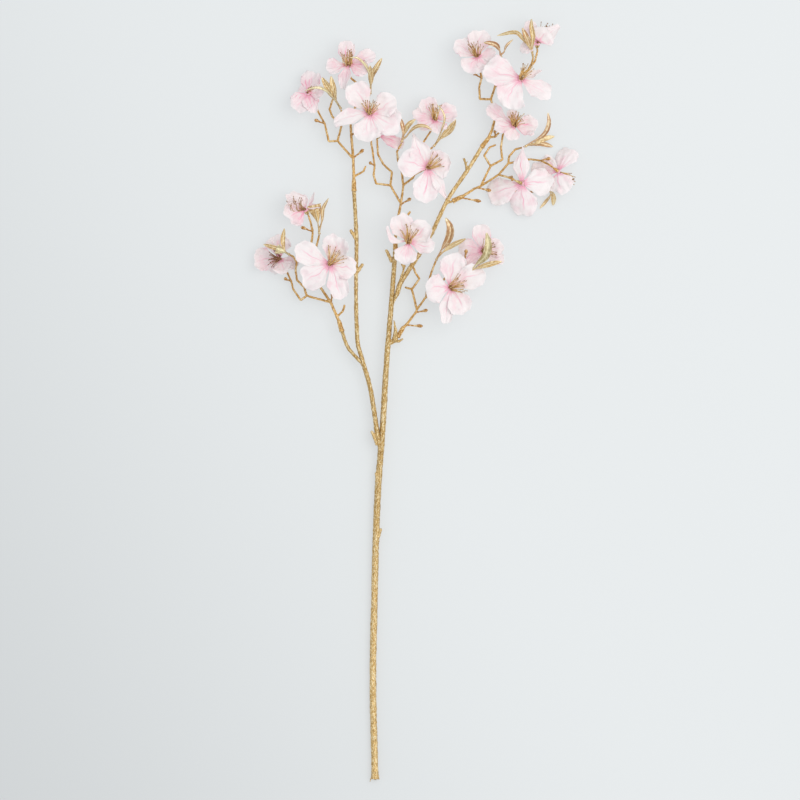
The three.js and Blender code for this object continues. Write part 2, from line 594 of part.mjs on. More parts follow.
function twigSet(set, seat) {
  const along = vector(seat.along).normalize();
  const start = vector(seat.at);
  const end = beyond(start, along, COLLAR_LENGTH);
  const collar = rod(start, end, COLLAR_RADIUS, COLLAR_RADIUS * 0.75, 7);
  const boreEnd = beyond(start, along, COLLAR_BORE_DEPTH);
  const bore = rod(beyond(start, along, -1), boreEnd, BORE_RADIUS, BORE_RADIUS, 6);
  const shootLine = [beyond(end, along, -1), ...set.shoot.map(vector)];
  const shoot = tube(shootLine, taper(SHOOT_RADIUS, TWIG_RADIUS), 5, TWIG_STEP);
  const blossoms = set.blossoms.map((name) => BLOSSOMS[name]);
  const sprigs = set.sprigs.map((name) => LEAF_SPRIGS[name]);
  const moulding = joined([
    shoot,
    ...set.twigs.map((line) => twig(line, TWIG_RADIUS)),
    ...set.buds.map(bud),
    ...blossoms.map(calyx),
    ...sprigs.map(leafPeg),
  ]);
  return cutBy(moulding, blossoms.map(calyxSocket)).add(cutBy(collar, [bore]));
}

// ---- Blossoms ----
/** Turns the fold line of each four-cornered patch from one corner pair to the other. */
function turnFolds(geometry, start, count) {
  const corners = geometry.index.array;
  for (let i = start; i < start + count; i += 6) {
    const [a, b, d, , c] = corners.slice(i, i + 6);
    corners.set([a, b, c, a, c, d], i);
  }
}

/** A petal: a thin cupped sheet, narrow at the hub, widest near its rounded end. */
function petal([x, y, z, width], face) {
  const tip = new THREE.Vector3(x, y, z);
  const rise = tip.dot(face);
  const outward = beyond(tip, face, -rise);
  const reach = outward.length();
  outward.normalize();
  const across = outward.clone().cross(face);
  const bend = outward.clone().multiplyScalar(reach * 0.6).addScaledVector(face, rise * 0.15);
  const midrib = new THREE.QuadraticBezierCurve3(outward.clone().multiplyScalar(PETAL_START), bend, tip);
  const geometry = new THREE.BoxGeometry(2, 1, 1, 2, 2, 1);
  const underside = geometry.groups[5];
  turnFolds(geometry, underside.start, underside.count);
  const places = geometry.attributes.position;
  for (let i = 0; i < places.count; i++) {
    const side = places.getX(i);
    const share = places.getY(i) + 0.5;
    const depth = places.getZ(i) * PETAL_THICKNESS;
    const reached = share * (1 - PETAL_ROUNDING * side ** 2 * share);
    const widening = (1 - PETAL_NARROW) * THREE.MathUtils.smoothstep(share, 0, PETAL_WIDEST);
    const half = (width / 2) * (PETAL_NARROW + widening - 0.35 * share ** 5);
    const lift = across.clone().cross(midrib.getTangent(reached));
    const moved = midrib.getPoint(reached);
    moved.addScaledVector(across, side * half);
    moved.addScaledVector(lift, depth + PETAL_CUP * width * side ** 2 * share);
    places.setXYZ(i, moved.x, moved.y, moved.z);
  }
  return solidOf(geometry);
}

/** A whorl: petals round a hub with a hole for the peg of the stamens. */
function whorl({ petals, face }) {
  const way = vector(face).normalize();
  const middle = new THREE.Vector3();
  const half = HUB_THICKNESS / 2;
  const hub = rod(beyond(middle, way, -half), beyond(middle, way, half), HUB_RADIUS, HUB_RADIUS, 6);
  const hole = rod(beyond(middle, way, -5), beyond(middle, way, 5), PEG_HOLE_RADIUS, PEG_HOLE_RADIUS, 5);
  return cutBy(joined([hub, ...petals.map((each) => petal(each, way))]), [hole]);
}

/** The stamens: a peg, a small base and a ring of filaments that lean outwards. */
function stamens({ face }) {
  const way = vector(face).normalize();
  const middle = new THREE.Vector3();
  const sideways = new THREE.Vector3(way.z, 0, -way.x).normalize();
  const low = HUB_THICKNESS / 2 + FIT_GAP + PETAL_THICKNESS;
  const pegFoot = beyond(middle, way, -PEG_LENGTH);
  const peg = rod(pegFoot, beyond(middle, way, low + 0.5), PEG_RADIUS, PEG_RADIUS, 4);
  const base = rod(beyond(middle, way, low), beyond(middle, way, low + 1.5), 2.2, 2.4, 5);
  const filaments = [];
  for (let i = 0; i < STAMENS; i++) {
    const lean = sideways.clone().applyAxisAngle(way, (i * 2 * Math.PI) / STAMENS);
    const foot = beyond(beyond(middle, way, low + 0.5), lean, 1.3);
    const reach = beyond(beyond(foot, way, STAMEN_LENGTH), lean, STAMEN_LENGTH * STAMEN_SPREAD);
    filaments.push(rod(foot, reach, STAMEN_RADIUS, STAMEN_RADIUS * 0.8, 3));
  }
  return joined([peg, base, ...filaments]);
}

// ---- Leaves ----
/** A leaf: a stalk that widens to a pointed blade, flat side up. */
function leaf(foot, { line, width }) {
  const curve = new THREE.CatmullRomCurve3([foot, ...line.map(vector)], false, "centripetal");
  const steps = 5;
  const geometry = new THREE.CylinderGeometry(1, 1, 1, 4, steps);
  turnFolds(geometry, steps * 6, steps * 6);
  turnFolds(geometry, 3 * steps * 6, steps * 6);
  const places = geometry.attributes.position;
  const up = new THREE.Vector3(0, 0, 1);
  const place = new THREE.Vector3();
  for (let i = 0; i < places.count; i++) {
    place.fromBufferAttribute(places, i);
    const share = THREE.MathUtils.clamp(0.5 - place.y, 0, 1);
    const along = curve.getTangentAt(share);
    const across = along.clone().cross(up).normalize();
    const lift = across.clone().cross(along);
    const alongBlade = THREE.MathUtils.clamp((share - LEAF_BLADE_START) / 0.84, 0, 1);
    const blade = Math.sin(Math.PI * alongBlade) ** 0.8;
    const half = Math.max(LEAF_STALK_RADIUS * (1.1 - 0.7 * share), (width / 2) * blade);
    const thick = THREE.MathUtils.lerp(LEAF_STALK_RADIUS, LEAF_THICKNESS / 2, share);
    const moved = curve.getPointAt(share);
    moved.addScaledVector(across, place.x * half);
    moved.addScaledVector(lift, -place.z * thick);
    places.setXYZ(i, moved.x, moved.y, moved.z);
  }
  return solidOf(geometry);
}

/** A leaf sprig: leaves from one sleeve, which is bored for the twig's peg. */
function leafSprig(sprig) {
  const foot = vector(sprig.at);
  const way = sleeveWay(sprig);
  const low = beyond(foot, way, FIT_GAP);
  const high = beyond(foot, way, LEAF_SLEEVE_LENGTH);
  const deep = beyond(foot, way, LEAF_PEG_LENGTH + FIT_GAP);
  const sleeve = rod(low, high, LEAF_SLEEVE_RADIUS, LEAF_STALK_RADIUS * 1.2, 5);
  const bore = rod(beyond(foot, way, -1), deep, LEAF_PEG_HOLE_RADIUS, LEAF_PEG_HOLE_RADIUS, 5);
  const leafFoot = beyond(foot, way, LEAF_SLEEVE_LENGTH - 0.8);
  return joined([cutBy(sleeve, [bore]), ...sprig.leaves.map((each) => leaf(leafFoot, each))]);
}

// ---- The spray ----
const spray = new THREE.Group();
spray.add(meshOf("main_stem", mainStem(), "wrap"));
spray.add(meshOf("stem_wire", stemWire(), "steel"));
spray.add(meshOf("left_branch", leftBranch(), "wrap"));
spray.add(meshOf("left_side_branch", leftSideBranch(), "wrap"));
spray.add(meshOf("right_branch", rightBranch(), "wrap"));

for (const [letter, set] of Object.entries(TWIG_SETS)) {
  spray.add(meshOf(`twig_set_${letter}`, twigSet(set, SEATS[letter]), "twig"));
}

for (const [name, blossom] of Object.entries(BLOSSOMS)) {
  const group = new THREE.Group();
  group.position.set(...blossom.at);
  group.add(meshOf(`petals_${name}`, whorl(blossom), "petal"));
  group.add(meshOf(`stamens_${name}`, stamens(blossom), "stamen"));
  spray.add(group);
}

for (const [name, sprig] of Object.entries(LEAF_SPRIGS)) {
  spray.add(meshOf(`leaf_sprig_${name}`, leafSprig(sprig), "leaf"));
}

// The origin is on the table, under the middle of the spray's box.
const sprig = new THREE.Group();
sprig.add(spray);
const box = new THREE.Box3().setFromObject(spray, true);
const centre = box.getCenter(new THREE.Vector3());
spray.position.set(-centre.x, -centre.y, -box.min.z);

export default sprig;
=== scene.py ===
"""The looks of an artificial cherry blossom sprig that lies on a table.

A gold wrapped wire stem carries three branches. Moulded twig sets sit on their ends, with gold leaves and
pale pink cloth blossoms. Places are in millimetres from the middle of the stem's cut foot: x across the
sprig, y along it towards the blossoms, z up from the table. Each finished piece is put in the frame's
metres at the end.
"""

import math
from bisect import bisect_right
from random import Random

import bmesh
import bpy
from mathutils import Matrix, Vector, kdtree, noise


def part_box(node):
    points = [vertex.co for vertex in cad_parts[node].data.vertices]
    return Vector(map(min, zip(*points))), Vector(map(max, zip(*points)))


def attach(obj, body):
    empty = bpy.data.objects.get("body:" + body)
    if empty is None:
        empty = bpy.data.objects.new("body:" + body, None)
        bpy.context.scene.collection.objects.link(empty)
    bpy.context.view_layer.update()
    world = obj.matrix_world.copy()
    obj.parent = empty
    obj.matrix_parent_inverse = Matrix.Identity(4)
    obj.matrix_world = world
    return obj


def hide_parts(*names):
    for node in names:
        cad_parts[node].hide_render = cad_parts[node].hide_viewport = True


MM = 0.001
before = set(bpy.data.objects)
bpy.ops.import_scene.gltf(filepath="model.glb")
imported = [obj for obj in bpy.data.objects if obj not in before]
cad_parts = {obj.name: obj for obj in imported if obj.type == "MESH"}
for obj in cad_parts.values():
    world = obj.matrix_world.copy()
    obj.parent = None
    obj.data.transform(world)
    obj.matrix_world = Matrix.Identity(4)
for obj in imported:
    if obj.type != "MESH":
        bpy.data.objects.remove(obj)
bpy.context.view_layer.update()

# ---- Driving dimensions ----
FIT_GAP = 0.3
STEM_RADIUS = 3.3
STEM_TOP_RADIUS = 2.35
BRANCH_FOOT_RADIUS = 2.45
BRANCH_TOP_RADIUS = 1.95
SIDE_BRANCH_RADIUS = 1.75
WIRE_RADIUS = 1.1
COLLAR_RADIUS = 2.6
COLLAR_LENGTH = 12
SHOOT_RADIUS = 1.5
TWIG_RADIUS = 1.1
TWIG_TIP_RADIUS = 0.9
BUD_RADIUS = 1.6
CALYX_LENGTH = 7
CALYX_RADIUS = 2.6
HUB_RADIUS = 2.7
PETAL_CLOTH_THICKNESS = 0.3
PETAL_START = 2.5
STAMEN_LENGTH = 12
LAYER_STEP = 0.22
FILAMENT_RADIUS = 0.36
FILAMENT_TIP_RADIUS = 0.26
FILAMENT_KNOB_RADIUS = 0.5
LEAF_SLEEVE_RADIUS = 1.5
LEAF_SLEEVE_LENGTH = 4
LEAF_STALK_RADIUS = 0.8
LEAF_THICKNESS = 0.55
WRAP_PITCH = 6.5
# How far above the table the lowest points of a petal, a leaf, a sheet's back and a moulding stay.
PETAL_FLOOR = 0.3
LEAF_FLOOR = 0.6
SHEET_FLOOR = 0.05
SKIN_FLOOR = 0.02
TABLE_SIZE = 6

# ---- Where the stems run ----
STEM_LINE = [
    [0, 0, 3.6], [-0.5, 20, 3.6], [-2, 80, 3.7], [-2, 119, 4], [-1, 165, 4.5], [0, 210, 5], [1.2, 250, 6],
    [3, 292, 7], [5.5, 325, 8], [8, 358, 9], [10, 393, 10], [12.5, 431, 11], [15, 460, 11.5], [17, 484, 12],
    [18.5, 505, 13], [20.5, 530, 14],
]
LEFT_BRANCH_LINE = [
    [1.1, 331, 8], [1.2, 344, 9], [-1, 369, 10], [-5, 393, 10.5], [-13, 421, 11], [-17, 436, 11.5],
    [-18.5, 457, 12], [-19, 508, 12.5], [-18.5, 537, 13], [-21, 588.7, 13],
]
SIDE_BRANCH_LINE = [[-16.8, 420.8, 11], [-26, 431, 11.5], [-30, 439, 12], [-32.9, 448.2, 12]]
RIGHT_BRANCH_LINE = [
    [21.5, 480, 12], [22.4, 489, 12], [25.5, 497, 12.5], [33, 509, 13.5], [44, 525.5, 14], [56, 545.5, 14],
    [68, 571, 14.5], [75.5, 585, 15], [94, 612, 15], [106.5, 632.7, 15],
]
# Where each collar takes its wire, and which way the collar points.
SEATS = {
    "a": {"at": [-33, 448.5, 12], "along": [-0.29, 0.95, 0]},
    "b": {"at": [-21, 589, 13], "along": [-0.02, 1, 0]},
    "c": {"at": [20.5, 530.3, 14], "along": [-0.02, 1, 0]},
    "d": {"at": [106.7, 633, 15], "along": [0.6, 0.8, 0]},
    "e": {"at": [77.6, 579, 14.8], "along": [0.9, 0.43, 0]},
    "f": {"at": [22.6, 443, 10], "along": [0.5, 0.86, 0]},
}

# ---- The blossoms ----
# Each stands at a point and faces a way. A petal is its tip, from the blossom's middle, and its width, and
# then what sets it apart from a plain petal: facing turns it another way than its blossom and pink gives it
# another colour, and the rest is as in PLAIN_PETAL.
PLAIN_PETAL = {
    "widest": 0.55,   # how far out it is widest
    "point": 0.0,     # how much its tip is drawn in
    "round": 1.25,    # how far its outer edge bends back at the sides
    "notch": 0.0,     # how deep that edge is cut
    "notch_at": 0.0,  # where the cut is, from -1 to 1 across
    "cup": 0.16,      # how far its sides rise, in shares of its width like the next four
    "crease": 0.05,   # how deep its middle is pressed in
    "curl": -0.06,    # how far its tip rises
    "fold": 0.0,      # how far one side is folded up, the left one where it is below zero
    "ruffle": 1.0,    # how wavy it is
    "twist": 0.0,     # degrees that it turns about its own length
    "sweep": 0.0,     # how far its middle bends sideways
}
BLOSSOMS = {
    "a1": {"at": [-69.5, 570, 22], "face": [-0.4, 0.7, 0.6], "petals": [
        [-18, 17, -2, 21, {"cup": 0.25, "widest": 0.5}],
        [-20, -8, 6, 26, {"facing": (0.1, 0.15, 0.98), "notch": 0.13, "notch_at": -0.1, "widest": 0.35,
                          "pink": 0.42}],
        [9, 18, -2, 6, {"point": 0.6, "widest": 0.7}],
        [15, 3, -2, 9, {"point": 0.3}],
        [-6, 15, -12, 13],
    ]},
    "a2": {"at": [-96, 521.5, 9.5], "face": [-0.12, 0.05, 0.99], "petals": [
        [-1, 24, 0, 25],
        [-26, -1, -2, 23, {"notch": 0.08, "curl": 0.1}],
        [-11, -13, -7, 16],
        [6, -14, 5, 22, {"fold": 0.3}],
        [19, -6, 5, 13],
    ]},
    "a3": {"at": [-45, 515.4, 30], "face": [0.05, 0.1, 0.99], "petals": [
        [-34, 16, 5, 23, {"widest": 0.62}],
        [-27, -20, 3, 27, {"notch": 0.07, "notch_at": 0.35}],
        [10, 29, 6, 28, {"notch": 0.1, "notch_at": -0.1, "round": 1.05, "fold": 0.2}],
        [26, -5, 2, 24],
        [13, -35, 4, 22, {"point": 0.2, "crease": 0.1}],
    ]},
    "b1": {"at": [-67, 687, 20], "face": [-0.35, 0.45, 0.82], "petals": [
        [4, 24, -4, 22, {"notch": 0.16, "notch_at": 0.2, "widest": 0.45}],
        [-11, 4, -6, 12],
        [-13, -17, 4, 22, {"facing": (-0.1, 0.1, 0.99), "widest": 0.25, "crease": 0.1}],
        [6, -20, 7, 17, {"facing": (0, 0.05, 1), "widest": 0.25, "point": 0.35}],
        [15, 1, 8, 16, {"facing": (0, 0.2, 0.98)}],
    ]},
    "b2": {"at": [-27, 715.5, 24], "face": [0, 0.55, 0.84], "petals": [
        [-2, 25, -6, 17, {"widest": 0.5}],
        [-22, -4, 4, 19, {"widest": 0.6, "crease": 0.12}],
        [-5, -25, 6, 15, {"twist": 25, "point": 0.35}],
        [20, -9, 5.5, 18, {"fold": -0.4, "pink": 0.6}],
        [27, 10, -3, 17],
    ]},
    "b3": {"at": [-5, 666.2, 34], "face": [0.05, 0.2, 0.98], "petals": [
        [-19, 30, 3, 26, {"widest": 0.6, "notch": 0.05}],
        [25, 13, 2, 25, {"round": 1.1, "widest": 0.6}],
        [-36, -11, 0, 17, {"round": 0.9, "point": 0.4, "widest": 0.5, "sweep": 0.3}],
        [-4, -28, 6, 29, {"notch": 0.04, "notch_at": -0.4, "widest": 0.6}],
        [30, -15, 4, 29, {"widest": 0.6}],
    ]},
    "c1": {"at": [60.5, 660.6, 20], "face": [0.05, 0.45, 0.89], "petals": [
        [-11, 22, -4, 19, {"notch": 0.06}],
        [-23, 6, 0, 13, {"widest": 0.75, "fold": 0.3}],
        [-17, -9, 5, 15, {"notch": 0.1}],
        [4, -14, 8, 19, {"notch": 0.12, "notch_at": -0.2, "widest": 0.4}],
        [21, 11, 0, 24, {"notch": 0.05}],
    ]},
    "c2": {"at": [53, 611.7, 32], "face": [0.1, 0.1, 0.99], "petals": [
        [-15, 34, 4, 21, {"point": 0.85, "widest": 0.35, "sweep": -0.12}],
        [-29, 8, 5, 30, {"ruffle": 0.7}],
        [-4, -35, 4, 28, {"point": 0.1, "widest": 0.5, "ruffle": 0.7}],
        [18, -31, -4, 14, {"point": 0.7, "fold": 0.4}],
        [21, 8, 3, 31, {"widest": 0.4, "cup": 0.04}],
    ]},
    "c3": {"at": [4, 645.5, 16], "face": [0.3, 0.5, 0.8], "petals": [
        [25, -11, 3, 15, {"widest": 0.4, "notch": 0.05, "pink": 0.75}],
        [-16, -3, -2, 12],
        [14, 12, -6, 14],
        [-10, 12, -8, 14],
    ]},
    "d1": {"at": [102, 723.7, 24], "face": [0, 0.45, 0.89], "petals": [
        [-21, 15, -3, 22, {"widest": 0.5}],
        [4, 27, -6, 23, {"notch": 0.12, "notch_at": -0.1}],
        [-8, -17, 9, 25, {"notch": 0.05, "widest": 0.4}],
        [19, 2, 2, 14, {"notch": 0.08}],
        [10, -12, 4, 15],
    ]},
    "d2": {"at": [145.4, 700.3, 36], "face": [0.15, 0.35, 0.92], "petals": [
        [-37, 11, 2, 31, {"crease": 0.12, "notch": 0.03, "widest": 0.5}],
        [-13, -31, 8, 29, {"widest": 0.5, "sweep": 0.55}],
        [29, -18, 4, 22, {"point": 0.15, "notch": 0.06, "notch_at": 0.5}],
        [21, 8, 0, 11, {"point": 0.7, "fold": 0.4}],
    ]},
    "d3": {"at": [162.5, 736.5, 24], "face": [0.1, 0.7, 0.7], "petals": [
        [-9, 23, -6, 15],
        [9, 13.5, 4, 26, {"facing": (0, 0.1, 1), "widest": 0.25, "cup": 0.02, "pink": 0.08, "ruffle": 0.4}],
        [22, 18, 0, 15, {"facing": (0, 0.1, 1), "point": 0.6, "widest": 0.4, "pink": 0.08, "ruffle": 0.5}],
        [-17, -9, 4, 15],
        [8, 16, -8, 18],
    ]},
    "d4": {"at": [139.2, 654.7, 23], "face": [0.15, 0.35, 0.92], "petals": [
        [-27, 19, 0, 16, {"widest": 0.75, "sweep": -0.1}],
        [-20, -1, 4, 16, {"notch": 0.14, "notch_at": 0.2}],
        [-4, -15, 8, 15],
        [23, 0, 4, 22, {"crease": 0.12, "widest": 0.45}],
        [20, -9, 1, 12, {"point": 0.4}],
        [-3, 16, -2, 11],
    ]},
    "e1": {"at": [146.8, 596.6, 19], "face": [0.2, -0.08, -0.97], "petals": [
        [1, 37, -3, 17, {"point": 0.93, "widest": 0.4, "sweep": 0.12}],
        [31, 3, -2, 29, {"widest": 0.5}],
        [4, -32, -12, 27, {"widest": 0.5, "notch": 0.03}],
        [-34, -12, -12, 27, {"widest": 0.6}],
    ]},
    "e2": {"at": [183.4, 608.5, 17.5], "face": [0.45, -0.35, -0.82], "petals": [
        [13, 24, -9, 24, {"notch": 0.06, "crease": 0.12}],
        [5, -22, 1, 27, {"round": 1.0, "widest": 0.35}],
        [-27, 4, -12, 19],
        [-15, 15, -11, 12],
    ]},
    "f1": {"at": [33.6, 537.7, 34], "face": [0, 0.15, 0.99], "petals": [
        [-11, 27, 5, 23, {"widest": 0.5}],
        [20, 18, 4, 24, {"widest": 0.5}],
        [26, -5, 6, 19, {"notch": 0.06, "point": 0.2}],
        [-5, -22, 5, 23, {"notch": 0.1, "notch_at": 0.3, "widest": 0.45}],
        [-22, 15, 8, 7, {"sweep": -1.1, "point": 0.5, "ruffle": 0.5}],
    ]},
    "f2": {"at": [75.5, 492.1, 31], "face": [0.1, 0.05, 0.99], "petals": [
        [4, 34, 4, 27, {"widest": 0.55}],
        [32, 17, 3, 24, {"round": 0.9, "notch": 0.04, "notch_at": -0.5}],
        [14, -26, 4, 24, {"widest": 0.5}],
        [-5, -36, 2, 16, {"point": 0.3, "sweep": 0.12, "notch": 0.06, "notch_at": -0.4}],
        [-25, -1, 4, 29, {"notch": 0.05, "widest": 0.5}],
    ]},
    "f3": {"at": [107.8, 528.6, 22], "face": [0.25, 0.3, 0.92], "petals": [
        [-2, 27, -4, 19, {"widest": 0.5}],
        [20, 6, 0, 21],
        [21, -10, 4, 13],
        [-25, 2, -3, 21, {"crease": 0.12}],
        [-17, -17, 2, 15, {"fold": 0.4, "pink": 0.6}],
    ]},
}

# ---- The leaf sprigs ----
# Each is pushed on to a twig's end at its foot. A leaf is its line from the foot to its tip, its width and
# its tone, warm above 0.45 and green below -0.3.
LEAF_SPRIGS = {
    "a1": {"at": [-55.6, 545.5, 16], "leaves": [
        [[[-57.5, 560, 20], [-61, 575, 23]], 14, 0.3, {"blunt": True, "fold": -0.1}],
        [[[-53, 560, 20], [-52, 571, 22], [-46.5, 581.5, 25]], 3.6, 0.7],
    ]},
    "a2": {"at": [-85.5, 525.5, 19.5], "leaves": [
        [[[-91, 528, 26], [-100, 532, 28], [-111.5, 535.5, 27]], 4.5, 0.3],
        [[[-90, 529, 27], [-92, 538, 28], [-90.5, 551.5, 26]], 4.6, 0.1],
        [[[-91, 528, 28], [-98.6, 531, 30]], 9.5, -1.0, {"blunt": True, "fold": 0.1}],
    ]},
    "b1": {"at": [-34, 671, 18], "leaves": [
        [[[-40, 681, 22], [-47, 692, 27], [-53, 702, 29]], 7, 0.1],
        [[[-40, 682, 24], [-42, 692, 27], [-44, 703.5, 27]], 6.5, 0.5],
        [[[-41, 681, 26], [-50, 689.5, 35], [-59, 691.5, 38], [-70, 688.4, 37.5]], 2.6, -0.7],
    ]},
    "b2": {"at": [-4.8, 685.7, 18], "leaves": [
        [[[-3, 704, 24], [2, 713, 27], [7, 721.5, 28]], 5.5, 0.6],
        [[[-4, 702, 26], [-5, 714, 30]], 5.5, 0.3],
        [[[-5, 705, 28], [-12, 717, 35], [-19, 721.4, 38], [-26, 721, 38]], 2.6, -0.6],
    ]},
    "c2": {"at": [26.7, 636.9, 23], "leaves": [
        [[[28, 646, 23], [27.6, 654, 23], [24, 664.5, 23]], 3.8, 1.3],
        [[[30, 648, 22], [33.5, 655, 24], [40.5, 660.5, 25]], 5, -0.4],
        [[[31, 643, 25], [37, 650, 29], [43, 653.5, 32], [51, 653, 33], [57, 649.4, 31]], 3.4, 0.6],
    ]},
    "c1": {"at": [58.3, 633.4, 18], "leaves": [
        [[[67, 643, 20], [76, 652, 22], [80.5, 660.5, 24]], 7, 0.2],
        [[[64, 642.5, 24], [67.3, 651.6, 31], [69.6, 661, 34], [67, 669, 35], [61.5, 675, 35]], 1.9, 0.4],
    ]},
    "d1": {"at": [126, 723, 19.5], "leaves": [
        [[[124.5, 729, 27], [121, 734, 33], [115, 736, 35], [108.5, 736.5, 35]], 5, 1.1],
        [[[129, 728, 22], [131, 733.5, 24], [138, 740.5, 25]], 2.6, 0.9],
    ]},
    "d3": {"at": [158.4, 722.7, 24], "leaves": [
        [[[154.8, 731, 32], [147, 741, 36], [141, 746.5, 36], [121.8, 743.7, 32]], 4.2, 0.0],
        [[[154, 734.7, 34], [150, 744, 39], [146.8, 751, 39]], 6, 0.8],
        [[[157, 734.3, 33], [157.5, 743, 36], [156, 752, 36], [156.2, 760.2, 34]], 5, -0.3],
    ]},
    "e2": {"at": [149.9, 633.5, 12], "leaves": [
        [[[158.6, 639, 13], [169.8, 646.7, 15], [174, 657, 17], [173, 667.4, 18]], 4.6, 1.2],
        [[[161, 637.6, 11], [169, 641.6, 10], [180, 644.2, 8]], 5.6, -0.4],
        [[[158, 635.5, 9], [166, 637, 6], [178.5, 634, 3]], 5, 0.8],
    ]},
    "e1": {"at": [172, 590.3, 8], "leaves": [
        [[[178, 591, 7], [186, 592, 5], [193.5, 590.8, 3]], 3.4, 1.1],
        [[[176, 586, 6], [172, 580, 3], [165.2, 572, 2]], 3, 0.6],
        [[[178, 588, 6], [179, 582, 4], [178.5, 575, 2]], 5, -0.2],
    ]},
    "f1": {"at": [61, 519.6, 20], "leaves": [
        [[[67, 531, 25], [73.5, 541, 30], [75, 552, 33], [70.6, 561.7, 34]], 8, 0.85],
        [[[68, 528, 23], [76, 533.7, 24], [90.7, 541.2, 26]], 5, -0.1],
    ]},
    "f3": {"at": [91.5, 506.5, 28], "leaves": [
        [[[101, 515, 34], [110.5, 524, 39], [113, 535.5, 41], [111.2, 546.7, 41]], 8, -0.75],
        [[[104, 512.5, 33], [116.8, 516.1, 34], [126.7, 518.2, 32]], 5.5, 0.1],
    ]},
}

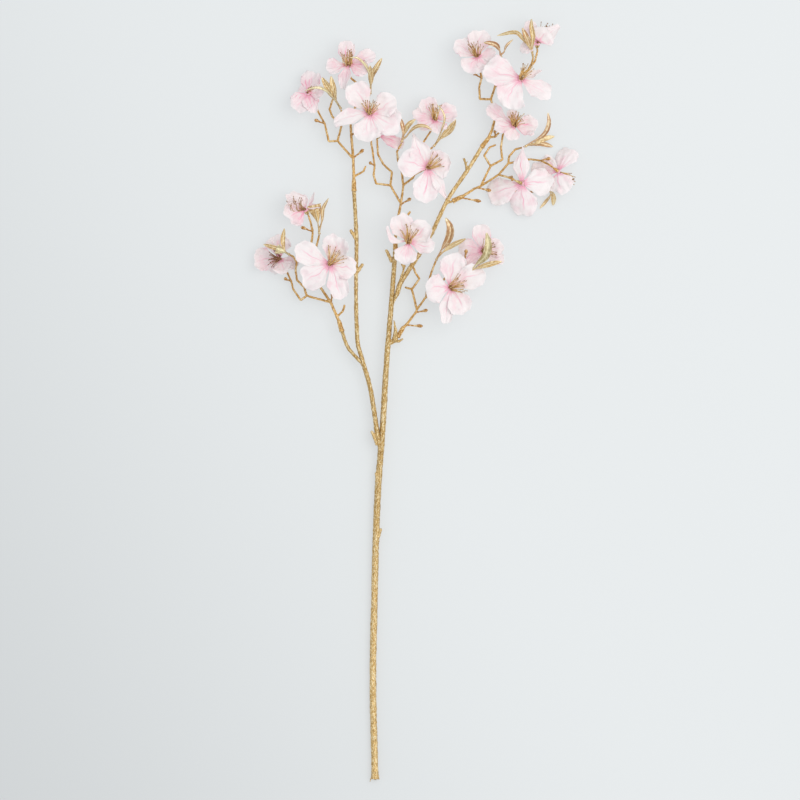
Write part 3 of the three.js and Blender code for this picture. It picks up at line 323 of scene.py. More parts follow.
# ---- The twigs of each set ----
# A set's shoot grows out of its collar. A twig is a line of points. It ends free, or in the calyx of the
# blossom or at the foot of the leaf sprig that it names last. Sticks are blunt shoots, and buds end in a bud.
TWIG_SETS = {
    "a": {
        "blossoms": ["a1", "a2", "a3"],
        "shoot": [[-44, 477, 12], [-57.5, 497, 13], [-60, 515, 14], [-63.5, 537, 14], [-62.3, 549, 14]],
        "twigs": [
            [[-62.3, 549, 14], [-64.5, 558, 17], "blossom a1"],
            [[-60, 513, 14], [-52, 514, 16], [-46.5, 514.8, 19], "blossom a3"],
            [[-60, 523, 14], [-58.7, 533.4, 15], "leaves a1"],
            [[-45, 478, 12], [-68.4, 484.3, 12], [-74.4, 480, 11], [-82, 491, 9], [-84, 499, 7],
             [-88.5, 509, 3.5], "blossom a2"],
            [[-68.4, 484.3, 12], [-71, 493, 13], [-78, 500, 14], [-79.5, 509, 14], [-78.5, 518, 16],
             [-81.5, 523, 18], "leaves a2"],
        ],
        "sticks": [[[-37.5, 464, 12], [-32.5, 469, 12.6], [-30.2, 475.5, 13]]],
        "buds": [
            [[-44, 477, 12], [-42.3, 487.3, 14]], [[-62.3, 548.5, 14], [-74.4, 553.3, 16]],
            [[-84, 499, 7], [-91.4, 502, 9]],
        ],
    },
    "b": {
        "blossoms": ["b1", "b2", "b3"],
        "shoot": [[-21.8, 621.5, 13], [-23.8, 644.5, 14], [-24.5, 657, 14], [-18, 680, 14],
                  [-16, 695.5, 14]],
        "twigs": [
            [[-16, 695.5, 14], [-24, 702, 14], "blossom b2"],
            [[-21, 669, 14], [-12, 664, 16], [-6, 664, 20], "blossom b3"],
            [[-18.5, 678, 14], [-9, 681, 15], "leaves b2"],
            [[-21.8, 621.5, 13], [-37.5, 639.2, 13], [-46.3, 639, 13], [-50.4, 656.6, 13], [-56.6, 668, 12],
             [-61, 677, 11], "blossom b1"],
            [[-37.5, 639.2, 13], [-33.8, 653.6, 14], [-33, 664, 16], "leaves b1"],
            [[-33.8, 653.6, 14], [-43, 664.3, 15], [-45.5, 671, 15], [-43, 679, 16], [-41.2, 682.5, 16.5]],
            [[-20.5, 604, 13], [-11.5, 609, 13], [-9.2, 614.5, 13]],
        ],
        "buds": [
            [[-22, 622, 13], [-11, 631, 14]], [[-50.4, 656.6, 13], [-61, 660.7, 13]],
            [[-24, 644.5, 14], [-19, 648.5, 14]],
        ],
    },
    "c": {
        "blossoms": ["c1", "c2", "c3"],
        "shoot": [[23, 563, 14.5], [25.7, 575.5, 15], [27.7, 589, 15], [28.5, 597, 15]],
        "twigs": [
            [[28.2, 595.6, 15.2], [26.6, 609.5, 15], [23, 619, 16], [22, 628.4, 20], "leaves c2"],
            [[28.3, 595, 14.8], [38, 602.5, 15], [45, 618, 14], [48, 637.5, 11], [55, 648, 10],
             "blossom c1"],
            [[40, 606, 15], [48, 610, 18], "blossom c2"],
            [[46, 622, 14], [52, 628.5, 15], "leaves c1"],
            [[25.7, 577, 15], [15.4, 594.7, 15], [1.1, 596.7, 15], [-1.4, 605, 15], [-0.4, 614.5, 15],
             [-2.5, 629.4, 15], [-3.8, 637, 14], [-3.4, 643, 13]],
            [[15.4, 594.7, 15], [16.9, 608, 14], [8.3, 616, 12], [3, 626, 9], "blossom c3"],
        ],
        "sticks": [[[22.5, 559, 14.5], [30, 562, 16], [35.6, 569, 17]]],
        "buds": [[[25.7, 575.5, 15], [36.3, 582, 16]], [[-0.4, 614.5, 15], [-6, 618, 17]]],
    },
    "d": {
        "blossoms": ["d1", "d2", "d3"],
        "shoot": [[117, 650, 15], [120.3, 662, 15], [118.5, 672, 15], [116, 681, 15]],
        "twigs": [
            [[116, 681, 15], [105, 681.2, 15], [104.3, 693.5, 15], [106.8, 703, 15], [104, 712, 16],
             "blossom d1"],
            [[116, 681, 15], [121, 696.5, 16], [124, 711, 16], "leaves d1"],
            [[120.3, 694, 16], [131, 695, 18], [140, 696, 22], "blossom d2"],
            [[131, 695, 18], [142, 702, 18], [153, 710, 18], [160, 719, 18], [162.5, 729, 18], "blossom d3"],
            [[153, 710, 18], [156.5, 716, 20], "leaves d3"],
            [[114.2, 642.7, 15], [120.3, 643.5, 17], [124.6, 648, 19]],
        ],
        "buds": [[[106.8, 702, 15], [97.7, 707.8, 14]], [[120.3, 643.5, 17], [120, 650, 20]]],
    },
    "e": {
        "blossoms": ["d4", "e1", "e2"],
        "shoot": [[99.5, 591.4, 15], [105.8, 594, 16]],
        "twigs": [
            [[105.8, 594, 16], [115.5, 614.1, 15], [109.3, 624.8, 13], [114.6, 632.9, 11], [121.5, 636, 10]],
            [[115.5, 614.1, 15], [127.4, 620.7, 14], [126, 633, 13], [128, 645.7, 13], [134, 650, 14],
             "blossom d4"],
            [[105.8, 594, 16], [123.6, 605.2, 20], [130, 603.5, 24], [138, 600.5, 28], "blossom e1"],
            [[123.6, 605.2, 20], [133.4, 616.8, 13], [145, 619.5, 8], [155.5, 621.2, 9], [165.5, 619.7, 15],
             [174.5, 615, 23], "blossom e2"],
            [[133.4, 616.8, 13], [134.3, 624, 11], [140.5, 631, 10], "leaves e2"],
            [[134, 602.3, 26], [137, 603.5, 15], [137.5, 597, 6], [140, 590, 4], [147, 586, 4],
             [155, 588.5, 5.5], "leaves e1"],
        ],
        "buds": [
            [[88, 582, 15], [106.4, 578.8, 14]], [[102, 592.5, 15.5], [116.5, 589.3, 16]],
            [[165.5, 619.7, 15], [175.8, 622, 14]],
        ],
    },
    "f": {
        "blossoms": ["f1", "f2", "f3"],
        "shoot": [[31.5, 455.5, 10], [40.6, 467.5, 11], [41.9, 471, 11]],
        "twigs": [
            [[41.9, 470.5, 11], [37, 491, 9], [44.4, 501.4, 9], [40.4, 507.4, 9], [38, 514, 8.5],
             [33.5, 522, 9], [31.5, 530, 16], "blossom f1"],
            [[37, 491, 9], [29.5, 493, 8]],
            [[41.9, 470.5, 11], [50.3, 482.2, 12], [60, 488, 14], [69, 491, 17], "blossom f2"],
            [[51, 483, 12], [53, 495, 14], [56.2, 507.2, 17], "leaves f1"],
            [[60, 488, 14], [70, 502, 14], [85, 512, 14], [97, 520, 14], "blossom f3"],
            [[70, 502, 14], [82, 502, 17], [88, 503, 22], "leaves f3"],
            [[85, 512, 14], [86.5, 515, 17], [87.8, 518.3, 25], [89.8, 521.5, 29]],
        ],
        "buds": [
            [[31, 455, 10], [48.2, 454, 11]], [[40.6, 467.5, 11], [53.1, 470.2, 12]],
            [[89.8, 520, 28.5], [91.2, 530.5, 31]],
        ],
    },
}

# ---- How each blossom looks ----
# pink is how deep its colour is. brush is the way the stamens lean, in degrees from x, how far they fan
# to each side, and how far the longest reaches sideways. filaments is how many there are, dark how brown
# they are, foot how wide their feet are set, shift how far these stand from the blossom's middle, and base
# how thick the boss under them is. calyx is where a calyx starts that comes from one side, and
# calyx_size and calyx_tone set its girth and its colour.
BLOSSOM_LOOKS = {
    "a1": {"pink": 0.26, "brush": (108, 40, 9), "foot": 7.5, "shift": (-8, 1, -3), "filaments": 16,
           "dark": 0.5, "base": 1.2},
    "a2": {"pink": 0.24, "brush": (178, 80, 8.5), "foot": 3.5, "dark": 1.0, "filaments": 23},
    "a3": {"pink": 0.06, "brush": (50, 56, 15), "foot": 2.6},
    "b1": {"pink": 0.46, "brush": (70, 50, 5), "dark": 0.3, "filaments": 7, "shift": (2, 1, -5),
           "base": 1.0},
    "b2": {"pink": 0.42, "brush": (93, 28, 11), "foot": 4.6, "filaments": 24},
    "b3": {"pink": 0.05, "brush": (72, 55, 11), "foot": 3.4, "filaments": 24},
    "c1": {"pink": 0.4, "brush": (88, 32, 14), "foot": 3.2},
    "c2": {"pink": 0.06, "brush": (40, 52, 15), "foot": 2.6},
    "c3": {"pink": 0.45, "brush": (90, 40, 5), "filaments": 10},
    "d1": {"pink": 0.28, "brush": (97, 42, 14), "foot": 3.2, "dark": 0.3},
    "d2": {"pink": 0.13, "brush": (62, 50, 15), "foot": 2.6},
    "d3": {"pink": 0.28, "brush": (70, 36, 19), "foot": 4, "shift": (1, 1, -8), "filaments": 18, "dark": 0.5,
           "base": 1.2},
    "d4": {"pink": 0.34, "brush": (75, 75, 10), "foot": 3.4, "filaments": 30},
    "e1": {"pink": 0.08, "brush": (20, 60, 6), "calyx": [139.5, 599.6, 24.5], "calyx_size": 0.62},
    "e2": {"pink": 0.14, "brush": (-26, 26, 17.5), "calyx": [178, 612.4, 20.5], "calyx_size": 0.6,
           "calyx_tone": 0.2},
    "f1": {"pink": 0.12, "brush": (75, 55, 14), "foot": 3.4, "filaments": 22},
    "f2": {"pink": 0.08, "brush": (22, 50, 14), "foot": 3.4, "filaments": 22},
    "f3": {"pink": 0.36, "brush": (20, 60, 12), "foot": 3, "dark": 0.3},
}
PLAIN_LOOK = {"filaments": 19, "dark": 0.0, "foot": 1.8, "shift": (0, 0, 0), "base": 2.0, "calyx_size": 0.9,
              "calyx_tone": -0.7}
BLOSSOM_LOOKS = {name: {**PLAIN_LOOK, **look} for name, look in BLOSSOM_LOOKS.items()}


# ---- Where the frame's own foot of the stem is ----
def stem_foot():
    """The middle of the stem's cut foot in the frame, found from the end of the wire inside it."""
    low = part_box("stem_wire")[0]
    ring = {tuple(round(c, 6) for c in v.co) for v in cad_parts["stem_wire"].data.vertices
            if v.co.y < low.y + 0.4 * MM}
    middle = sum((Vector(c) for c in ring), Vector()) / len(ring)
    return middle - Vector(STEM_LINE[0]) * MM


FOOT = stem_foot()

# ---- Camera, lamp and room, in metres but for the middle of the view ----
VIEW_MIDDLE = (25, 380)
VIEW_ACROSS = 0.8
VIEW_HEIGHT = 6.0
BLOSSOM_HEIGHT = 0.02
SENSOR = 36
LAMP_PLACE = Vector((1.1, 0.4, 2.4))
LAMP_AIM = Vector((0, 0.15, 0))
LAMP_SIZE = 2.4
LAMP_POWER = 34
ROOM_STRENGTH = 0.71

scene = bpy.context.scene
camera_data = bpy.data.cameras.new("camera")
camera_data.sensor_width = SENSOR
camera_data.lens = SENSOR * (VIEW_HEIGHT - BLOSSOM_HEIGHT) / VIEW_ACROSS
camera_data.clip_end = 50
camera = bpy.data.objects.new("camera", camera_data)
camera.location = (FOOT.x + VIEW_MIDDLE[0] * MM, FOOT.y + VIEW_MIDDLE[1] * MM, VIEW_HEIGHT)
scene.collection.objects.link(camera)
scene.camera = camera
scene.view_settings.view_transform = "Standard"

lamp_data = bpy.data.lights.new("key_panel", "AREA")
lamp_data.size = LAMP_SIZE
lamp_data.energy = LAMP_POWER
lamp_data.color = (1, 0.98, 0.96)
lamp = bpy.data.objects.new("key_panel", lamp_data)
lamp.location = LAMP_PLACE
lamp.rotation_euler = (LAMP_AIM - LAMP_PLACE).to_track_quat("-Z", "Y").to_euler()
scene.collection.objects.link(lamp)

world = bpy.data.worlds.new("room")
world.use_nodes = True
world.node_tree.nodes["Background"].inputs["Color"].default_value = (0.93, 0.97, 1, 1)
world.node_tree.nodes["Background"].inputs["Strength"].default_value = ROOM_STRENGTH
scene.world = world

# ---- Shader building ----
# The sockets of a mix node that blends two colours.
MIX_SHARE, MIX_FIRST, MIX_SECOND, MIX_RESULT = 0, 6, 7, 2


def feed(tree, node, inputs):
    """Gives a node its inputs. Each is a value, or the output that feeds it."""
    for key, value in inputs.items():
        if isinstance(value, bpy.types.NodeSocket):
            tree.links.new(value, node.inputs[key])
        else:
            node.inputs[key].default_value = value


def add_node(tree, kind, inputs=None, **settings):
    made = tree.nodes.new(kind)
    for key, value in settings.items():
        setattr(made, key, value)
    feed(tree, made, inputs or {})
    return made


def maths(tree, operation, first, second=0.0, third=0.0, clamp=False):
    inputs = {0: first, 1: second, 2: third}
    return add_node(tree, "ShaderNodeMath", inputs, operation=operation, use_clamp=clamp).outputs[0]


def times(tree, first, second):
    return maths(tree, "MULTIPLY", first, second)


def between(tree, value, low, high, start=0.0, end=1.0):
    """A value stretched smoothly from low..high to start..end."""
    inputs = {0: value, 1: low, 2: high, 3: start, 4: end}
    return add_node(tree, "ShaderNodeMapRange", inputs, interpolation_type="SMOOTHSTEP").outputs[0]


def painted(tree, colour, coats):
    """A colour with others laid over it in turn, each by its own share."""
    for share, coat in coats:
        inputs = {MIX_SHARE: share, MIX_FIRST: colour, MIX_SECOND: coat}
        colour = add_node(tree, "ShaderNodeMix", inputs, data_type="RGBA").outputs[MIX_RESULT]
    return colour


def noise_of(tree, place, scale, detail, roughness=0.5):
    inputs = {"Vector": place, "Scale": scale, "Detail": detail, "Roughness": roughness}
    return add_node(tree, "ShaderNodeTexNoise", inputs).outputs[0]


def parts_of(tree, vector):
    return add_node(tree, "ShaderNodeSeparateXYZ", {0: vector}).outputs


def joined(tree, x, y, z):
    return add_node(tree, "ShaderNodeCombineXYZ", {0: x, 1: y, 2: z}).outputs[0]


def mark(tree, name, output="Fac"):
    """What the mesh has written on it under a name."""
    return add_node(tree, "ShaderNodeAttribute", attribute_name=name).outputs[output]


def object_place(tree):
    return add_node(tree, "ShaderNodeTexCoord").outputs["Object"]


def new_material(name, roughness, metallic):
    """A material, its tree and its shader."""
    material = bpy.data.materials.new(name)
    material.use_nodes = True
    tree = material.node_tree
    shader = tree.nodes["Principled BSDF"]
    feed(tree, shader, {"Roughness": roughness, "Metallic": metallic})
    return material, tree, shader


def bump(tree, shader, height, strength, distance):
    made = add_node(tree, "ShaderNodeBump", {"Height": height, "Strength": strength, "Distance": distance})
    feed(tree, shader, {"Normal": made.outputs["Normal"]})


def streak_and_speck_group():
    """Gold paint over a rough skin: long streaks, small specks and the height of both."""
    group = bpy.data.node_groups.new("streak_and_speck", "ShaderNodeTree")
    for name, kind in (("Place", "NodeSocketVector"), ("Lengthwise", "NodeSocketFloat"),
                       ("Streak Scale", "NodeSocketFloat"), ("Speck Scale", "NodeSocketFloat")):
        group.interface.new_socket(name, in_out="INPUT", socket_type=kind)
    for name in ("Streak", "Speck", "Height"):
        group.interface.new_socket(name, in_out="OUTPUT", socket_type="NodeSocketFloat")
    given = group.nodes.new("NodeGroupInput").outputs
    parts = parts_of(group, given["Place"])
    stretched = joined(group, parts["X"], parts["Y"], times(group, parts["Z"], given["Lengthwise"]))
    streak = noise_of(group, stretched, given["Streak Scale"], 5, 0.62)
    speck = noise_of(group, given["Place"], given["Speck Scale"], 3, 0.6)
    height = maths(group, "MULTIPLY_ADD", speck, 0.45, streak)
    feed(group, group.nodes.new("NodeGroupOutput"), {"Streak": streak, "Speck": speck, "Height": height})
    return group


STREAK_AND_SPECK = streak_and_speck_group()
PAINT_METALLIC = 0.35


def gold_paint(name, tones, roughness, lengthwise, streak_scale, speck_scale, mottle_and_shading, rib):
    """Gold paint in three tones, with streaks and specks laid dark in the hollows and pale on the ridges,
    which is partly mottle in the paint and partly painted shade and a painted highlight, and with painted
    shade on the sides that face away from the top.

    wear is how strong the spots and their painted shade and highlight are, and rib how strong the painted
    highlight down the middle of a leaf and the painted shade beside it are. Two more tones follow the piece's
    own tone, warm above 0.45 and green below -0.3.
    """
    dark, middle, pale, warm, green = tones
    material, tree, shader = new_material(name, roughness, PAINT_METALLIC)
    place = mark(tree, "grain", "Vector")
    pattern = add_node(tree, "ShaderNodeGroup", {
        "Place": place, "Lengthwise": lengthwise, "Streak Scale": streak_scale, "Speck Scale": speck_scale,
    }, node_tree=STREAK_AND_SPECK).outputs
    tone, streak, speck = mark(tree, "tone"), pattern["Streak"], pattern["Speck"]
    parts = parts_of(tree, place)
    off_rib = maths(tree, "MULTIPLY_ADD", parts["X"], parts["X"], times(tree, parts["Y"], parts["Y"]))
    off_rib = maths(tree, "SQRT", off_rib)
    colour = painted(tree, middle, [
        (between(tree, value, low, high, 0, strength), coat) for value, low, high, strength, coat in (
            (tone, 0.45, 1.0, 1, warm), (tone, -0.3, -1.0, 1, green),
            # A leaf's middle gets a painted highlight and the band beside it painted shade.
            (off_rib, 0.9, 0.3, rib, pale), (off_rib, 1.4, 2.8, rib * 0.6, dark),
            # Streaks and specks: mottle in the paint, laid dark where the bump sinks and pale where it rises,
            # so also painted shade in the hollows and a painted highlight on the ridges.
            (streak, 0.49, 0.39, mottle_and_shading, dark), (streak, 0.51, 0.61, mottle_and_shading, pale),
            (speck, 0.54, 0.63, mottle_and_shading, pale), (speck, 0.45, 0.36, mottle_and_shading, dark),
            # Painted shade: the less a point faces up, the darker its paint.
            (mark(tree, "painted_shade_upward"), 0.62, 0.0, 0.55, dark),
        )])
    rough = between(tree, speck, 0.3, 0.7, roughness + 0.12, roughness - 0.08)
    feed(tree, shader, {"Base Color": colour, "Roughness": rough})
    bump(tree, shader, pattern["Height"], 0.9, 0.6 * MM)
    return material


def petal_cloth():
    """Stamped cloth: near white, a deep pink base, pink veins that fan out, a pale frayed edge."""
    white, blush = (0.935, 0.865, 0.855, 1), (0.93, 0.57, 0.64, 1)
    hot, frayed = (0.93, 0.24, 0.43, 1), (0.95, 0.91, 0.90, 1)
    material, tree, shader = new_material("petal_cloth", 0.82, 0.0)
    uv = parts_of(tree, add_node(tree, "ShaderNodeUVMap", uv_map="petal").outputs[0])
    along = uv["Y"]
    side = maths(tree, "MULTIPLY_ADD", uv["X"], 2.0, -1.0)
    off_rib = maths(tree, "ABSOLUTE", side)
    tones = add_node(tree, "ShaderNodeSeparateColor", {0: mark(tree, "tone", "Color")}).outputs
    pinkness, vein_strength, chance = tones[0], tones[1], tones[2]
    place = object_place(tree)
    fan_place = joined(tree, times(tree, side, 8.5), times(tree, along, 1.3), times(tree, chance, 40.0))
    fan = noise_of(tree, fan_place, 1.0, 4.0, 0.65)
    cloud = noise_of(tree, place, 95.0, 3.0, 0.55)
    thread = noise_of(tree, place, 2600.0, 2.0, 0.6)

    # The middle vein wanders from side to side on its way out.
    drift_place = joined(tree, 0.0, times(tree, along, 1.5), times(tree, chance, 23.0))
    drift = maths(tree, "SUBTRACT", noise_of(tree, drift_place, 1.0, 2.0), 0.5)
    off_vein = maths(tree, "ABSOLUTE", maths(tree, "MULTIPLY_ADD", drift, 1.1, side))
    off_vein = maths(tree, "MULTIPLY_ADD", cloud, 0.12, maths(tree, "SUBTRACT", off_vein, 0.06))
    vein = times(tree, between(tree, off_vein, 0.075, 0.0), between(tree, along, 0.92, 0.40))
    vein = times(tree, times(tree, vein, vein_strength), 0.85)

    fading = between(tree, along, 1.05, 0.1)
    flush = maths(tree, "MULTIPLY_ADD", between(tree, cloud, 0.46, 0.64), 0.38,
                  times(tree, pinkness, 0.6), clamp=True)
    flush = times(tree, flush, between(tree, along, 1.08, 0.35, 0.35, 1.0))
    fans = times(tree, times(tree, between(tree, fan, 0.54, 0.62), fading),
                 maths(tree, "MULTIPLY_ADD", pinkness, 0.6, 0.26))
    streaks = times(tree, between(tree, fan, 0.585, 0.67), times(tree, pinkness, fading))
    streaks = maths(tree, "MULTIPLY", streaks, 1.6, clamp=True)
    foot = maths(tree, "MULTIPLY_ADD", maths(tree, "SUBTRACT", fan, 0.5), -0.5, along)
    foot = between(tree, foot, 0.20, 0.03, 0.0, 0.6)
    rim = maths(tree, "MAXIMUM", between(tree, off_rib, 0.86, 1.0), between(tree, along, 0.92, 1.0))
    rim = times(tree, rim, 0.55)
    flushed_rim = times(tree, between(tree, off_rib, 0.90, 1.0), between(tree, cloud, 0.46, 0.54))
    flushed_rim = times(tree, flushed_rim, times(tree, pinkness, 1.3))
    colour = painted(tree, white, (
        (flush, blush), (fans, blush), (streaks, hot), (vein, hot), (foot, hot), (rim, frayed),
        (flushed_rim, hot)))
    feed(tree, shader, {"Base Color": colour, "Sheen Weight": 0.25, "Sheen Roughness": 0.5,
                        "Specular IOR Level": 0.2})
    bump(tree, shader, maths(tree, "MULTIPLY_ADD", fan, 0.8, times(tree, thread, 0.35)), 0.7, 0.25 * MM)
    return material


def filament_plastic():
    """Stamens: brown at the foot, gold up the filament, dark at the tip."""
    material, tree, shader = new_material("filament_plastic", 0.45, 0.2)
    along = parts_of(tree, add_node(tree, "ShaderNodeUVMap", uv_map="along").outputs[0])["Y"]
    fleck = noise_of(tree, object_place(tree), 700.0, 2.0)
    brown, gold, pale_gold = (0.26, 0.10, 0.03, 1), (0.74, 0.46, 0.15, 1), (0.93, 0.74, 0.38, 1)
    colour = painted(tree, brown, (
        (between(tree, along, 0.0, 0.45), gold),
        (between(tree, along, 0.78, 0.97), (0.40, 0.20, 0.06, 1)),
        (between(tree, fleck, 0.5, 0.62, 0, 0.7), pale_gold),
        (times(tree, mark(tree, "dark"), 0.75), (0.22, 0.07, 0.03, 1))))
    feed(tree, shader, {"Base Color": colour, "Roughness": between(tree, fleck, 0.3, 0.7, 0.55, 0.38)})
    bump(tree, shader, fleck, 0.5, 0.12 * MM)
    return material


def drawn_steel():
    """Plain wire with fine scratches along it."""
    material, tree, shader = new_material("drawn_steel", 0.38, 1.0)
    inputs = {0: object_place(tree), "Scale": (3000, 120, 3000)}
    scratch = noise_of(tree, add_node(tree, "ShaderNodeMapping", inputs).outputs[0], 1.0, 2.0)
    colour = painted(tree, (0.30, 0.29, 0.28, 1), ((scratch, (0.55, 0.54, 0.52, 1)),))
    feed(tree, shader, {"Base Color": colour})
    bump(tree, shader, scratch, 0.3, 0.1 * MM)
    return material


def table_top():
    """A pale table with painted light: it is a little lighter to one side, a painted falloff of the lamp, and
    it gives off some light, so that shadows stay faint.
    """
    material, tree, shader = new_material("table_top", 0.75, 0.0)
    parts = parts_of(tree, object_place(tree))
    # The slant is a painted falloff of light, darker towards one corner and lighter across the table.
    slant = maths(tree, "MULTIPLY_ADD", parts["X"], 0.8, times(tree, parts["Y"], 0.45))
    colour = painted(tree, (0.24, 0.2475, 0.25, 1),
                     ((between(tree, slant, -0.68, 0.05), (0.303, 0.312, 0.3145, 1)),))
    feed(tree, shader, {"Base Color": colour, "Emission Color": colour, "Emission Strength": 1.64,
                        "Specular IOR Level": 0.2})
    return material


# The dark and pale tones colour the mottle and also serve as painted shade and a painted highlight.
#              dark                   middle                  pale
WRAP_TONES = ((0.34, 0.18, 0.04, 1), (0.74, 0.48, 0.17, 1), (0.98, 0.84, 0.54, 1),
              (0.53, 0.32, 0.085, 1), (0.45, 0.38, 0.12, 1))
TWIG_TONES = ((0.30, 0.13, 0.025, 1), (0.70, 0.385, 0.10, 1), (1.0, 0.83, 0.49, 1),
              (0.56, 0.25, 0.05, 1), (0.50, 0.46, 0.20, 1))
LEAF_TONES = ((0.34, 0.17, 0.06, 1), (0.66, 0.44, 0.18, 1), (1.0, 0.90, 0.60, 1),
              (0.56, 0.28, 0.14, 1), (0.55, 0.52, 0.30, 1))
#              warm                   green
GOLD_WRAP = gold_paint("gold_wrap", WRAP_TONES, roughness=0.40, lengthwise=0.34, streak_scale=0.85,
                       speck_scale=1.2, mottle_and_shading=0.72, rib=0.0)
GOLD_TWIG = gold_paint("gold_twig", TWIG_TONES, roughness=0.40, lengthwise=0.30, streak_scale=0.62,
                       speck_scale=0.80, mottle_and_shading=0.65, rib=0.0)
GOLD_LEAF = gold_paint("gold_leaf", LEAF_TONES, roughness=0.36, lengthwise=0.06, streak_scale=0.75,
                       speck_scale=0.42, mottle_and_shading=0.45, rib=0.6)
PETAL_CLOTH = petal_cloth()
FILAMENTS = filament_plastic()
STEEL = drawn_steel()


# ---- Lines with a frame carried along them ----
FINE_STEP = 0.6


def spline_point(before, first, second, after, share):
    """A point of the smooth curve between two points of a line, which the points on either side bend."""
    gap = [max((b - a).length ** 0.5, 1e-3) for a, b in ((before, first), (first, second), (second, after))]
    pull = ((first - before) / gap[0] - (second - before) / (gap[0] + gap[1]) + (second - first) / gap[1])
    drag = ((second - first) / gap[1] - (after - first) / (gap[1] + gap[2]) + (after - second) / gap[2])
    start, end = pull * gap[1], drag * gap[1]
    s = share
    return (first * (2 * s**3 - 3 * s**2 + 1) + start * (s**3 - 2 * s**2 + s)
            + second * (3 * s**2 - 2 * s**3) + end * (s**3 - s**2))


class Line:
    """A smooth line through some points, cut into short steps, each with its own frame.

    Its tone, from one end to the other, is the colour that the piece has there.
    """

    def __init__(self, points, tone=0.0, end_tone=None):
        points = [Vector(p) for p in points]
        points = [points[0] * 2 - points[1], *points, points[-1] * 2 - points[-2]]
        self.tone = tone
        self.end_tone = tone if end_tone is None else end_tone
        self.places = [points[1]]
        for before, first, second, after in zip(points, points[1:], points[2:], points[3:]):
            pieces = max(2, round((second - first).length / FINE_STEP))
            for k in range(1, pieces + 1):
                self.places.append(spline_point(before, first, second, after, k / pieces))
        self.reached = [0.0]
        for here, there in zip(self.places, self.places[1:]):
            self.reached.append(self.reached[-1] + (there - here).length)
        self.length = self.reached[-1]
        self.ways, self.normals = [], []
        normal = Vector((0.3, 0.2, 1))
        last = len(self.places) - 1
        for i in range(last + 1):
            way = (self.places[min(i + 1, last)] - self.places[max(i - 1, 0)]).normalized()
            normal = (normal - way * normal.dot(way)).normalized()
            self.ways.append(way)
            self.normals.append(normal)

    def at(self, share):
        """The place, the way along and the two ways across, at a share of the length."""
        reached = min(max(share, 0.0), 1.0) * self.length
        i = min(max(bisect_right(self.reached, reached) - 1, 0), len(self.places) - 2)
        part = (reached - self.reached[i]) / max(self.reached[i + 1] - self.reached[i], 1e-9)
        way = self.ways[i].lerp(self.ways[i + 1], part).normalized()
        normal = self.normals[i].lerp(self.normals[i + 1], part)
        normal = (normal - way * normal.dot(way)).normalized()
        return self.places[i].lerp(self.places[i + 1], part), way, normal, way.cross(normal)


def kinked(points, straight=0.22):
    """The points of a line with more added near each corner, so that it bends only there."""
    points = [Vector(p) for p in points]
    path = [points[0]]
    for here, there in zip(points, points[1:]):
        if (there - here).length > 5:
            path += [here.lerp(there, straight), here.lerp(there, 1 - straight)]
        path.append(there)
    return path


def smooth(value, low, high):
    """A smooth step from 0 at low to 1 at high."""
    share = min(max((value - low) / (high - low), 0.0), 1.0)
    return share * share * (3 - 2 * share)


def bell(value, middle, span):
    """A soft bump of height 1 round a middle."""
    return math.exp(-(((value - middle) / span) ** 2))


def wave(x, y, z):
    """Smooth noise from about -1 to 1."""
    return noise.noise(Vector((x, y, z)))


def added_since(bm, count):
    """The points that a bmesh has gained since it had that many."""
    bm.verts.ensure_lookup_table()
    return bm.verts[count:]


def thicken(bm, faces, thickness):
    """Turns an open sheet into a closed one, with a back below it that stays above the table."""
    bm.normal_update()
    behind = {tuple(v.co): v.normal.copy() for face in faces for v in face.verts}
    before = len(bm.verts)
    bmesh.ops.extrude_face_region(bm, geom=faces, use_keep_orig=True)
    for v in added_since(bm, before):
        v.co -= behind[tuple(v.co)] * thickness
        v.co.z = max(v.co.z, SHEET_FLOOR)


def add_tube(bm, line, radius_at, sides, step, uv=None):
    """A closed tube along a line. Its radius is given for each share of the length and each angle."""
    rings = max(2, round(line.length / step))
    others = len(bm.verts)
    made = bmesh.ops.create_cone(bm, cap_ends=True, segments=sides, radius1=1, radius2=1, depth=1)["verts"]
    uprights = {e for v in made for e in v.link_edges if abs(e.verts[0].co.z - e.verts[1].co.z) > 0.5}
    bmesh.ops.subdivide_edges(bm, edges=list(uprights), cuts=rings - 1)
    verts = added_since(bm, others)
    if uv:
        for face in {f for v in verts for f in v.link_faces}:
            for loop in face.loops:
                turn = math.atan2(loop.vert.co.y, loop.vert.co.x) / math.tau + 0.5
                loop[uv].uv = (turn, loop.vert.co.z + 0.5)
    frames = {}
    for v in verts:
        share = round(v.co.z + 0.5, 6)
        if share not in frames:
            frames[share] = line.at(share)
        middle, _, normal, binormal = frames[share]
        angle = math.atan2(v.co.y, v.co.x)
        radius = radius_at(share, angle)
        v.co = middle + (normal * math.cos(angle) + binormal * math.sin(angle)) * radius
    return verts


def taper(start, end, round_end=0.0):
    """A radius that runs from one value to another, drawn in at the far end over a share of the length."""
    def radius_at(share, _):
        radius = start + (end - start) * share
        if round_end and share > 1 - round_end:
            radius *= math.sqrt(max(1 - ((share - 1 + round_end) / round_end) ** 2, 0.02))
        return radius
    return radius_at


# ---- Finished pieces ----
def piece_of(name, bm):
    """A new piece of the sprig from a bmesh in millimetres."""
    bm.transform(Matrix.Translation(FOOT) @ Matrix.Scale(MM, 4))
    mesh = bpy.data.meshes.new(name)
    bm.to_mesh(mesh)
    bm.free()
    for face in mesh.polygons:
        face.use_smooth = True
    piece = bpy.data.objects.new(name, mesh)
    scene.collection.objects.link(piece)
    return piece


def show(piece, material, slot, *nodes):
    """Gives a piece its finish and its place in the frame."""
    piece.data.materials.clear()
    piece.data.materials.append(material)
    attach(piece, "root")
    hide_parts(*nodes)


